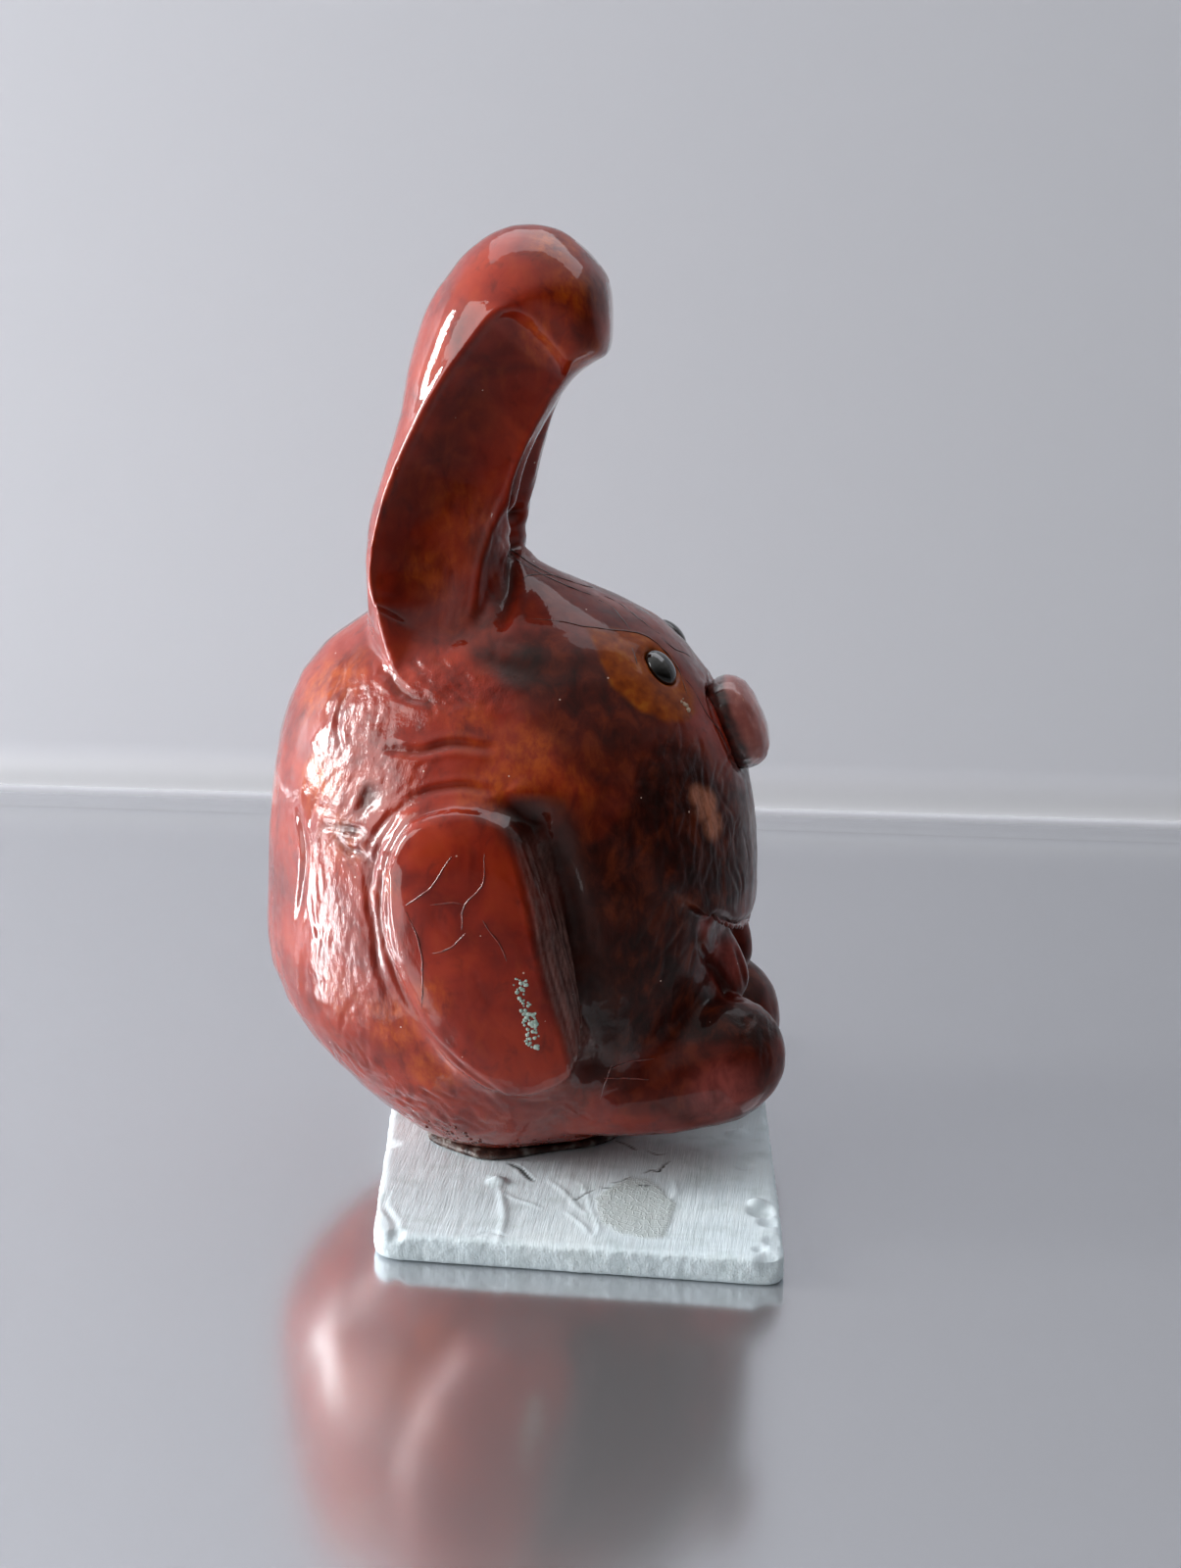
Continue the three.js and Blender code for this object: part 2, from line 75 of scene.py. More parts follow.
# %% Camera and picture positions
IMAGE = np.array([1205, 1600])
LENS, SENSOR = 76.5, 36.0
CAMERA_SPOT = Vector((0.0557, -0.5108, 0.223))
CAMERA_PITCH, CAMERA_TURN = 17.3, 6.0  # degrees down, and away from square to the rabbit
PIXELS = LENS / SENSOR * IMAGE[1]  # focal length in pixels

camera = bpy.data.objects.new("camera", bpy.data.cameras.new("camera"))
bpy.context.scene.collection.objects.link(camera)
camera.data.lens, camera.data.sensor_width = LENS, SENSOR
camera.data.clip_start, camera.data.clip_end = 0.01, 20
camera.location = CAMERA_SPOT
camera.rotation_euler = (math.radians(90 - CAMERA_PITCH), 0, math.radians(CAMERA_TURN))
bpy.context.scene.camera = camera
camera_axes = camera.rotation_euler.to_matrix()


def ray_at(x, y):
    """The direction from the camera through a picture position."""
    flat = Vector((x - IMAGE[0] / 2, IMAGE[1] / 2 - y, -PIXELS))
    return (camera_axes @ flat).normalized()


def seen_at(points):
    """Picture positions of an array of points."""
    local = (points - np.array(CAMERA_SPOT)) @ np.array(camera_axes)
    return np.column_stack([IMAGE[0] / 2 - PIXELS * local[:, 0] / local[:, 2],
                            IMAGE[1] / 2 + PIXELS * local[:, 1] / local[:, 2]])


print("focal length in picture pixels:", round(PIXELS))

# %% [markdown]
# ## One skin over the clay pieces
# Wet clay pieces are pressed and smeared together, so the joins are soft hollows and not sharp
# lines. Filleting ten solids one by one would be slow. Instead the clay solids are swelled by
# a quarter of a millimetre so that the seams close, voxel remesh turns them into one even skin,
# and averaging each point with its neighbours rounds every join as a wet finger does.

# %% Small mesh helpers
def merged(node, swell=0.0):
    """A CAD node's mesh with its doubled corners merged, swelled outward."""
    mesh = bmesh.new()
    mesh.from_mesh(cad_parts[node].data)
    bmesh.ops.remove_doubles(mesh, verts=mesh.verts, dist=1e-6)
    mesh.normal_update()
    for vert in mesh.verts:
        vert.co += vert.normal * swell
    return mesh


def new_object(name, data):
    made = bpy.data.objects.new(name, data)
    bpy.context.scene.collection.objects.link(made)
    return made


def remeshed(name, sources, voxel):
    """One even skin round a list of bmeshes."""
    joined = bpy.data.meshes.new(name)
    whole = bmesh.new()
    for source in sources:
        source.to_mesh(joined)
        whole.from_mesh(joined)
        source.free()
    whole.to_mesh(joined)
    whole.free()
    piece = new_object(name, joined)
    shrinkwrap = piece.modifiers.new("even skin", "REMESH")
    shrinkwrap.mode, shrinkwrap.voxel_size = "VOXEL", voxel
    shrinkwrap.use_smooth_shade = True
    baked = bpy.data.meshes.new_from_object(
        piece.evaluated_get(bpy.context.evaluated_depsgraph_get()))
    piece.modifiers.clear()
    piece.data = baked
    bpy.data.meshes.remove(joined)
    return piece


def places(mesh):
    values = np.empty(len(mesh.vertices) * 3)
    mesh.vertices.foreach_get("co", values)
    return values.reshape(-1, 3)


def normals(mesh):
    values = np.empty(len(mesh.vertices) * 3, np.float32)
    mesh.vertex_normals.foreach_get("vector", values)
    return values.reshape(-1, 3).astype(float)


def move_to(mesh, points):
    mesh.vertices.foreach_set("co", points.astype(np.float32).ravel())
    mesh.update()


def averaged(mesh, values, rounds, share=0.5):
    """Values at the vertices, each mixed with the mean of its neighbours, some rounds long."""
    ends = np.empty(len(mesh.edges) * 2, np.int32)
    mesh.edges.foreach_get("vertices", ends)
    a, b = ends.reshape(-1, 2).T
    order = np.argsort(np.concatenate([a, b]), kind="stable")
    other = np.concatenate([b, a])[order]
    count = np.bincount(ends, minlength=len(mesh.vertices))
    start = np.concatenate([[0], np.cumsum(count)[:-1]])
    shape = (-1,) + (1,) * (values.ndim - 1)
    share = np.reshape(share, shape) if np.ndim(share) else share
    for _ in range(rounds):
        mean = np.add.reduceat(values[other], start, axis=0) / count.reshape(shape)
        values = values + (mean - values) * share
    return values


# %% Build the skin
CLAY = ["trunk", "head", "ear_right", "ear_left", "haunch_right", "haunch_left",
        "hind_foot_right", "hind_foot_left", "front_paw_right", "front_paw_left"]
SEAM_SWELL = 0.25 * MM  # closes the 0.3 mm line between two pieces
VOXEL = 0.45 * MM
SMEAR = 1.1 * MM  # how far a join is smoothed out
FILLET = 3.2 * MM  # how far the join of the ears and the forehead is
EAR_START = 99 * MM  # over this height the edges of the ears stay crisper
EAR_JOIN = np.array([-8.0, 0.0, 101.0]) * MM  # where the ears leave the forehead
KNOB = (127 * MM, 137 * MM)  # the ears' round tip begins between these heights
SEAMS = {("trunk", "head"): 1.0, ("trunk", "haunch_right"): 0.55, ("trunk", "haunch_left"): 0.55,
         ("trunk", "hind_foot_right"): 1.0, ("trunk", "hind_foot_left"): 1.0,
         ("haunch_right", "hind_foot_right"): 1.0, ("haunch_left", "hind_foot_left"): 1.0}
SEAM_ROUNDS = 40  # how far to each side of a seam it is smoothed


def smooth_step(values, low, high):
    t = np.clip((values - low) / (high - low), 0, 1)
    return t * t * (3 - 2 * t)


def nearest_solids(at):
    """The number of the clay solid that each point lies nearest to."""
    corners, triangles, owners = [], [], []
    for number, node in enumerate(CLAY):
        solid = merged(node)
        start = len(corners)
        corners += [vert.co.copy() for vert in solid.verts]
        for face in solid.faces:
            triangles.append([start + vert.index for vert in face.verts])
            owners.append(number)
        solid.free()
    tree = BVHTree.FromPolygons(corners, triangles)
    return np.array([owners[tree.find_nearest(Vector(p))[2]] for p in at])


skin = remeshed("clay_skin", [merged(node, SEAM_SWELL) for node in CLAY], VOXEL)
at = places(skin.data)
owner = nearest_solids(at)
ends = np.empty(len(skin.data.edges) * 2, np.int32)
skin.data.edges.foreach_get("vertices", ends)
ends = ends.reshape(-1, 2)
seam = np.zeros(len(at))
for (first, second), share in SEAMS.items():
    pair = {CLAY.index(first), CLAY.index(second)}
    crossing = ends[[{owner[i], owner[j]} == pair if owner[i] != owner[j] else False
                     for i, j in ends]]
    seam[crossing.ravel()] = share
seam = np.clip(averaged(skin.data, seam, SEAM_ROUNDS) * 12, 0, 1)
rounds = int(round(2 * (SMEAR / VOXEL) ** 2))
crisp = smooth_step(at[:, 2], EAR_START, EAR_START + 9 * MM)
at = averaged(skin.data, at, rounds, 0.5 - 0.15 * crisp)
from_join = np.linalg.norm((at - EAR_JOIN) * [1, 0.7, 1], axis=1)
near_join = 1 - smooth_step(from_join, 7 * MM, 13 * MM)
knob = 0.5 * smooth_step(at[:, 2], *KNOB)
softened = np.maximum(np.maximum(near_join, seam), knob)
at = averaged(skin.data, at, int(2 * (FILLET / VOXEL) ** 2), 0.5 * softened)
move_to(skin.data, at)
print("skin points:", len(skin.data.vertices), "rounds of smoothing:", rounds)

# %% [markdown]
# ## Marks of the hands and tools
# A hand-modelled surface is never even: it has broad lumps from the fingers, creases where pieces
# meet, scratches from a modelling tool and places where the slip dried wrinkled. Sculpting them
# with a brush can't be repeated in a script. Here each mark is a trail of picture positions that
# is dropped onto the clay along the camera's rays, and the skin sinks or rises by how near it is
# to a trail. The far side gets the same marks mirrored and shifted, because it can't be seen.

# %% The near half of the skin, and the far half folded onto it
FAR_SHIFT = 1.6 * MM  # how far the marks of the far side stray from a true mirror image
move_to(skin.data, places(skin.data) - normals(skin.data) * SEAM_SWELL)
points = places(skin.data)
facing = normals(skin.data)


def wave(at, size, seed=0.0):
    """Smooth noise between -1 and 1 with lumps of a size in millimetres, one per axis or one."""
    scaled = at / (np.asarray(size) * MM) + seed * 7.3
    return np.array([noise.noise(Vector(p)) for p in scaled])


far = smooth_step(points[:, 1], 1 * MM, 12 * MM)
stray = np.column_stack([wave(points, 26, seed) for seed in (1, 2, 3)]) * FAR_SHIFT * 2
print("far side points:", int((far > 0).sum()))

# %% Toes
# The near toe is fuller on top than its solid, and the far one is squashed a little behind it.
TOE = np.array([27.0, -13.0, 25.0]) * MM
FAR_TOE = np.array([28.0, 15.0, 26.0]) * MM
TOE_FULLER = 1.5 * MM
FAR_TOE_SQUASH = np.array([1.6, 0.0, 2.2]) * MM
SOLE = 16 * MM  # under this height the foot keeps its shape
from_toe = np.linalg.norm(points - TOE, axis=1) / MM
fuller = TOE_FULLER * (1 - smooth_step(from_toe, 3, 12)) * (points[:, 2] > SOLE)
points += facing * fuller[:, None]
squashed = 1 - smooth_step(np.linalg.norm(points - FAR_TOE, axis=1) / MM, 7, 15)
points -= squashed[:, None] * FAR_TOE_SQUASH
folded = points * [1, 0, 1] - np.abs(points) * [0, 1, 0] + stray * far[:, None]
skin_faces = [list(face.vertices) for face in skin.data.polygons]
skin_tree = BVHTree.FromPolygons([tuple(p) for p in points], skin_faces)
print("toe points:", int((squashed > 0).sum()))

# %% Trails on the clay from picture positions
STEP = 0.3 * MM  # distance between the points of a trail


def spot_on(tree, x, y):
    """Where the ray through a picture position meets a surface, or None."""
    return tree.ray_cast(CAMERA_SPOT, ray_at(x, y))[0]


def trail(spots, tree=skin_tree, step=STEP):
    """A smooth trail of evenly spaced points on a surface, through picture positions."""
    knots = np.array(spots, float)
    ends = np.vstack([2 * knots[0] - knots[1], knots, 2 * knots[-1] - knots[-2]])
    dropped = []
    for a, b, c, d in zip(ends, ends[1:], ends[2:], ends[3:]):
        count = max(2, int(np.linalg.norm(c - b) / 2))
        for t in np.arange(count) / count:
            mix = 0.5 * (2 * b + (c - a) * t + (2 * a - 5 * b + 4 * c - d) * t ** 2
                         + (3 * b - a - 3 * c + d) * t ** 3)
            place = spot_on(tree, *mix)
            if place:
                dropped.append(np.array(place))
    place = spot_on(tree, *knots[-1])
    if place:
        dropped.append(np.array(place))
    dropped = np.array(dropped)
    run = np.concatenate([[0], np.cumsum(np.linalg.norm(np.diff(dropped, axis=0), axis=1))])
    even = np.linspace(0, run[-1], max(3, int(run[-1] / step) + 1))
    return np.column_stack([np.interp(even, run, dropped[:, k]) for k in range(3)])


def point_tree(spots):
    """A tree that finds the nearest of some points."""
    tree = kdtree.KDTree(len(spots))
    for i, spot in enumerate(spots):
        tree.insert(spot, i)
    tree.balance()
    return tree


def pressed(at, marks):
    """Height change at points from marks: (trail, width mm, depth mm), a minus depth is a ridge.

    A groove pushes up a low bank at each side, as a tool does in soft clay."""
    samples = [(p, width, depth * math.sin(math.pi * (i + 0.5) / len(path)) ** 0.4)
               for path, width, depth in marks for i, p in enumerate(path)]
    tree = point_tree([p for p, _, _ in samples])
    found = [tree.find(p)[1:] for p in at]
    index = np.array([f[0] for f in found])
    width = np.array([s[1] for s in samples])[index] * MM
    depth = np.array([s[2] for s in samples])[index] * MM
    away = np.array([f[1] for f in found]) / width
    bank = 0.3 * np.exp(-((away - 1.25) / 0.5) ** 2) * (depth > 0)
    return depth * (bank - np.exp(-(away / 0.6) ** 2))


def nearest_on(paths, at):
    """Distance from each point to the nearest of some trails."""
    tree = point_tree(np.vstack(paths))
    return np.array([tree.find(p)[2] for p in at])


def patches(at, spots):
    """Strength 0 to 1 at points, from soft round patches: picture position, radius mm, strength."""
    strength = np.zeros(len(at))
    for x, y, radius, share in spots:
        place = spot_on(skin_tree, x, y)
        if place:
            away = np.linalg.norm(at - np.array(place), axis=1) / (radius * MM)
            strength = np.maximum(strength, share * (1 - smooth_step(away, 0.35, 1.15)))
    return strength


def inside(spots, edge, soft):
    """1 inside a closed picture outline, 0 outside, blurred over some pixels."""
    crossings = np.zeros(len(spots), int)
    nearest = np.full(len(spots), 1e9)
    for a, b in zip(edge, np.roll(edge, -1, axis=0)):
        side = (a[1] > spots[:, 1]) != (b[1] > spots[:, 1])
        rise = np.where(b[1] == a[1], 1e-9, b[1] - a[1])
        at_x = a[0] + (spots[:, 1] - a[1]) * (b[0] - a[0]) / rise
        crossings += side & (spots[:, 0] < at_x)
        t = np.clip(((spots - a) @ (b - a)) / ((b - a) @ (b - a)), 0, 1)
        nearest = np.minimum(nearest, np.linalg.norm(spots - a - t[:, None] * (b - a), axis=1))
    signed = np.where(crossings % 2 == 1, nearest, -nearest)
    return smooth_step(signed, -soft, soft)


# %% Deep creases and joins
# Each row: width mm, depth mm, picture positions.
CREASES = [
    # the deep hollow in front of the haunch
    (2.0, 0.4, [(566, 850), (576, 885), (585, 915), (593, 946), (602, 981), (609, 1017),
                (614, 1053), (612, 1078)]),
    (2.6, 0.7, [(506, 822), (528, 828), (548, 838), (560, 860)]),
    # the soft line round the back and the foot of the haunch, and the ridges beside it
    (1.2, 0.45, [(460, 822), (431, 831), (410, 849), (394, 881), (387, 917), (390, 953),
                 (401, 985), (414, 1017), (431, 1046)]),
    (1.1, 0.3, [(431, 1046), (460, 1078), (489, 1103), (517, 1119), (546, 1126), (578, 1118)]),
    (0.9, 0.32, [(420, 840), (405, 862), (396, 892), (395, 925), (400, 955)]),
    (0.8, 0.3, [(405, 836), (388, 862), (378, 896), (376, 930), (381, 960)]),
    (0.8, 0.25, [(428, 818), (400, 832), (380, 856), (370, 884)]),
    (0.8, -0.3, [(399, 878), (392, 917), (396, 953), (407, 985), (420, 1017)]),
    # folds behind the cheek and across the back
    (1.1, 0.5, [(396, 764), (428, 767), (460, 760), (500, 764)]),
    (1.0, 0.4, [(417, 814), (446, 806), (474, 803), (500, 808)]),
    (0.9, 0.6, [(330, 842), (344, 845), (360, 847), (373, 851)]),
    (0.9, 0.6, [(341, 854), (353, 867), (366, 870), (380, 884)]),
    (1.0, 0.35, [(354, 706), (346, 730), (346, 752), (352, 772)]),
    (1.2, 0.35, [(305, 826), (311, 870), (309, 905), (303, 940)]),
    (1.2, 0.3, [(371, 884), (379, 931), (386, 981), (397, 1017)]),
    # between the bevel of the near ear and the far ear
    (1.6, 0.9, [(541, 452), (527, 490), (522, 520), (522, 560), (520, 600), (512, 640)]),
    # the fold over the temple and the hollow under the ear
    (2.4, 0.4, [(497, 668), (520, 680), (545, 688)]),
    (1.2, 0.4, [(392, 684), (404, 700), (420, 712), (446, 716)]),
    # the mouth line under the muzzle, and round the paw
    (1.3, 0.7, [(716, 940), (735, 936), (752, 944), (766, 936)]),
    (1.4, 0.8, [(715, 946), (716, 968), (728, 986), (738, 1002), (744, 1016), (760, 1018)]),
    (0.9, 0.5, [(752, 968), (759, 988), (762, 1006)]),
    # rim of the muzzle beside the nose
    (1.2, 0.5, [(722, 690), (722, 716), (732, 744), (744, 772), (756, 790)]),
]
# Each row: picture position, radius mm, depth mm.
PITS = [(375, 814, 1.6, 0.4), (368, 826, 1.2, 0.3), (534, 682, 5.5, 0.4), (729, 983, 1.8, 0.6)]
creases = [(trail(spots), width, depth) for width, depth, spots in CREASES]
height = pressed(folded, creases)
# The front wall of the haunch falls away into the hollow before the belly.
WALL_FOOT = [(556, 840), (572, 885), (584, 930), (594, 975), (603, 1017), (608, 1056), (604, 1086)]
WALL_DROP, WALL_WIDTH = 2.3 * MM, 3.6 * MM
away = nearest_on([trail(WALL_FOOT)], folded)
height -= WALL_DROP * np.exp(-(away / WALL_WIDTH) ** 2)
for x, y, radius, depth in PITS:
    height -= patches(folded, [(x, y, radius * 1.3, 1)]) * depth * MM
print("creases:", len(creases), "deepest in mm:", round(-height.min() / MM, 2))

# %% Cup of the ear
# The hollow of the cup ends at the rim, at an arch under the knob and at the front ridge.
CUP = np.array([
    (376, 640), (377, 600), (381, 560), (391, 523), (409, 474), (430, 436), (458, 383), (477, 357),
    (497, 330), (511, 319), (527, 319), (541, 328), (556, 345), (570, 364), (582, 384), (566, 404),
    (546, 438), (530, 475), (515, 510), (500, 540), (488, 580), (483, 622), (476, 668), (452, 690),
    (414, 684)], float)
RIM = [(376, 640), (376, 600), (380, 560), (389, 523), (406, 472), (427, 434), (454, 382),
       (474, 356), (495, 327), (510, 315), (528, 314), (543, 322), (559, 339), (574, 360),
       (588, 370)]
FRONT_RIDGE = [(560, 410), (545, 438), (531, 472), (518, 510), (502, 541), (490, 579),
               (486, 621), (484, 650)]
near_facing = facing * [1, 0, 1] - np.abs(facing) * [0, 1, 0]
front = (near_facing * (folded - np.array(CAMERA_SPOT))).sum(axis=1) < 0
in_picture = seen_at(folded)
cup = pressed(folded, [(trail(RIM), 1.3, -0.3), (trail(FRONT_RIDGE), 1.2, -0.3)])
# Its floor is a shallow dish between the rim and the ridge, so lines are stretched across it
# from pairs of picture positions, sagging in the middle.
ACROSS = [((380, 660), (482, 668)), ((376, 640), (484, 650)),
          ((376, 600), (486, 621)), ((380, 560), (490, 579)), ((389, 523), (502, 541)),
          ((406, 472), (518, 510)), ((427, 434), (531, 472)), ((454, 382), (545, 438)),
          ((474, 356), (560, 410)), ((495, 327), (574, 390)), ((510, 315), (586, 374)),
          ((522, 313), (580, 362)), ((535, 318), (570, 352)), ((547, 327), (556, 338))]
SAG = 1.3 * MM
ROW_POINTS = 13  # how many points a stretched line has
DISHED = 0.85  # how far the clay goes towards the dish
grid = []
for row, (left, right) in enumerate(ACROSS):
    a, b = (np.array(spot_on(skin_tree, *spot)) for spot in (left, right))
    into = (a + b) / 2 - np.array(CAMERA_SPOT)
    into /= np.linalg.norm(into)
    grid += [a + (b - a) * u + into * SAG * math.sin(math.pi * u)
             for u in np.linspace(0, 1, ROW_POINTS)]
dish_tree = BVHTree.FromPolygons(
    [tuple(p) for p in grid],
    [(i, i + 1, i + ROW_POINTS + 1, i + ROW_POINTS) for row in range(len(ACROSS) - 1)
     for i in range(row * ROW_POINTS, (row + 1) * ROW_POINTS - 1)])
in_cup = inside(in_picture, CUP, 8) * front * (1 - smooth_step(in_picture[:, 1], 560, 655))
dished = folded.copy()
for i in np.flatnonzero(in_cup > 0.01):
    ray = Vector(folded[i]) - CAMERA_SPOT
    hit = dish_tree.ray_cast(CAMERA_SPOT, ray.normalized())[0]
    if hit:
        gap = np.array(hit) - folded[i]
        close = 1 - smooth_step(np.linalg.norm(gap), 4 * MM, 5.5 * MM)  # not through the ear
        dished[i] += gap * in_cup[i] * DISHED * close
shift = dished - folded
shift[:, 1] *= np.where(points[:, 1] > 0, -1, 1)
points = points + shift
print("cup done, points in front:", int(front.sum()))

# %% Scratches of the modelling tool
# Each row: picture position of the middle of the area, its half width and half height, the
# number of strokes, their heading in degrees (90 is down), their length, and width and depth mm.
STROKES = [
    (695, 830, 52, 78, 80, 100, 46, 0.55, 0.26),
    (735, 880, 26, 48, 26, 82, 40, 0.5, 0.26),
    (668, 960, 46, 50, 26, 112, 40, 0.55, 0.18),
    (366, 745, 44, 66, 60, 104, 34, 0.6, 0.13),
    (362, 830, 46, 44, 52, 128, 30, 0.6, 0.13),
    (358, 950, 36, 90, 90, 86, 44, 0.6, 0.13),
    (410, 790, 26, 34, 26, 130, 24, 0.5, 0.13),
    (450, 1135, 66, 24, 60, 28, 30, 0.6, 0.26),
    (345, 1080, 30, 26, 20, 60, 24, 0.6, 0.2),
    (640, 1092, 34, 18, 12, -28, 44, 0.4, 0.14),
    (650, 1092, 28, 18, 8, 8, 40, 0.4, 0.12),
    (775, 1050, 18, 34, 26, 96, 18, 0.5, 0.24),
    (566, 950, 16, 84, 60, 78, 60, 0.45, 0.3),
    (610, 1000, 20, 80, 30, 82, 40, 0.45, 0.2),
    (505, 600, 12, 60, 20, 100, 40, 0.45, 0.16),
    (440, 700, 50, 22, 26, 40, 18, 0.6, 0.24),
    (738, 952, 16, 12, 14, 112, 16, 0.5, 0.26),
    (455, 560, 40, 110, 26, 106, 44, 0.6, 0.08),
    (480, 960, 60, 110, 18, 60, 60, 0.35, 0.08),
]
draw = np.random.default_rng(11)
strokes = []
for x, y, wide, tall, count, heading, length, width, depth in STROKES:
    for _ in range(count):
        spread = math.sqrt(draw.random())
        turn = draw.random() * 2 * math.pi
        start = np.array([x + wide * spread * math.cos(turn), y + tall * spread * math.sin(turn)])
        lead = math.radians(heading + draw.normal(0, 13))
        reach = length * draw.uniform(0.5, 1.2) / 2
        bend = draw.normal(0, 0.12)
        across = np.array([math.cos(lead), math.sin(lead)])
        aside = np.array([-across[1], across[0]])
        spots = [start + across * reach * s + aside * reach * bend * (s * s - 1)
                 for s in (-1, -0.33, 0.33, 1)]
        if all(spot_on(skin_tree, *s) for s in spots):
            strokes.append((trail(spots), width * draw.uniform(0.7, 1.3),
                            depth * draw.uniform(0.4, 1.2)))
scratches = pressed(folded, strokes)
print("strokes:", len(strokes), "deepest in mm:", round(-scratches.min() / MM, 2))

# %% Fibres down the front wall of the haunch
# The wall was pulled down with a comb-like tool, so its fibres run between two lines: the edge of
# the haunch's face and the bottom of the hollow.
EDGE = [(517, 850), (530, 890), (540, 930), (548, 975), (560, 1020), (574, 1062), (584, 1096)]
HOLLOW = [(560, 850), (576, 890), (587, 930), (597, 975), (607, 1020), (615, 1062), (613, 1090)]
FIBRES = 8
CREST = 0.2 * MM  # how high the ridges between the fibres stand
fibres = []
for n in range(FIBRES):
    share = (n + 0.5) / FIBRES
    spots = [np.array(a) * (1 - share) + np.array(b) * share + draw.normal(0, 1.2, 2)
             for a, b in zip(EDGE, HOLLOW)]
    fibres.append((trail(spots), 0.75, 0.5 + 0.25 * (n % 2)))
combed = pressed(folded, fibres)
crests = []
for n in range(1, FIBRES):
    spots = [np.array(a) * (1 - n / FIBRES) + np.array(b) * n / FIBRES + draw.normal(0, 1, 2)
             for a, b in zip(EDGE, HOLLOW)]
    crests.append((trail(spots), 0.6, -CREST / MM))
crest_and_highlight = pressed(folded, crests)
combed += crest_and_highlight
print("fibres:", len(fibres))

# %% Broad lumps, wrinkled slip and the final height
LUMPS = [(17, 0.5), (7, 0.22), (3, 0.07)]  # size and height in millimetres
WRINKLED = [(372, 720, 9, 1), (352, 790, 10, 1), (400, 800, 8, 1), (350, 860, 10, 1),
            (362, 930, 11, 1), (360, 1000, 11, 1), (400, 960, 7, 0.7), (390, 1110, 9, 1),
            (440, 1140, 9, 1), (500, 1156, 8, 0.8), (690, 800, 10, 0.9), (690, 870, 10, 0.9),
            (735, 860, 8, 0.9), (720, 910, 8, 0.9), (640, 960, 10, 0.6), (660, 1040, 10, 0.6),
            (775, 1050, 6, 1), (440, 700, 8, 0.9), (500, 700, 6, 0.9), (300, 900, 9, 0.35)]
CALM = [(480, 900, 13, 1), (480, 980, 14, 1), (520, 1060, 10, 1), (600, 650, 12, 0.9),
        (620, 700, 10, 0.9), (670, 690, 9, 0.9), (580, 760, 12, 0.6), (745, 1110, 8, 0.8),
        (450, 400, 14, 0.6), (500, 300, 14, 0.8), (590, 290, 10, 0.9)]
rough = patches(folded, WRINKLED)
calm = patches(folded, CALM)
lumps = sum(wave(points, size, seed) * tall * MM for seed, (size, tall) in enumerate(LUMPS))
coarse, fine = wave(folded, (1.5, 1.5, 5.0), 5), wave(folded, (0.9, 0.9, 2.2), 6)
streaks = 1 - 2 * np.abs(coarse) - 2 * np.abs(fine)
lumps *= 1 - 0.7 * calm
wrinkles = streaks * 0.07 * MM * np.clip(rough + 0.12 * (1 - calm), 0, 1)
total = height + cup + scratches + combed + lumps + wrinkles
# Painted shade: the deeper a crease, scratch or fibre, the darker its glaze, kept as the groove
# share.
groove = np.clip(-(height + scratches + combed) / (0.7 * MM), 0, 1)
points = averaged(skin.data, points + facing * total[:, None], 2, 0.35)
low, high = np.array(cad_box)
ROOM = 0.02 * MM  # how far the worked surface stays inside the CAD box
points = np.clip(points, low + ROOM, high - ROOM)
move_to(skin.data, points)
print("height from", round(total.min() / MM, 2), "to", round(total.max() / MM, 2), "mm")

# %% [markdown]
# ## Where the paint lies
# The paint isn't one colour: ochre round the eyes, peach on the cheeks, amber where the varnish is
# thick over orange, and dark brown wash on the belly and in the ear's cup. Over that lies painted
# shade, nearly black in the grooves and on the side away from the window, a painted pink sheen where
# the varnish mirrors the pale board, and a painted grey-pink highlight on the crests of the fibres.
# Painting an image by hand can't be repeated in a script, so each colour's share is a number kept at
# every point of the skin, and the glaze material mixes its colours by those numbers.

# %% Shares of paint at the points of the skin
OCHRE_EDGE = np.array([
    (596, 640), (604, 653), (613, 671), (620, 683), (627, 698), (641, 714), (656, 726),
    (672, 733), (688, 738), (701, 737), (709, 728), (706, 712), (696, 690), (684, 668),
    (670, 656), (659, 649), (645, 645), (620, 642)], float)
# Each row of the four lists below: picture position, radius mm, strength.
AMBER = [(500, 812, 6, 0.6), (548, 780, 9, 0.6), (480, 744, 5, 0.4), (585, 800, 8, 0.4),
         (620, 770, 7, 0.4), (622, 990, 8, 0.8), (640, 930, 7, 0.5), (402, 1046, 6, 0.8),
         (440, 1090, 6, 0.6), (326, 800, 6, 0.9), (328, 700, 7, 0.7), (350, 690, 6, 0.6),
         (395, 905, 3, 0.5), (440, 1018, 4, 0.6), (568, 250, 5, 0.9), (585, 300, 6, 0.7),
         (556, 345, 5, 0.6), (470, 520, 6, 0.5), (440, 580, 6, 0.4), (600, 366, 4, 0.6),
         (700, 930, 4, 0.5), (612, 860, 6, 0.3), (350, 858, 5, 0.6), (345, 1010, 6, 0.3)]
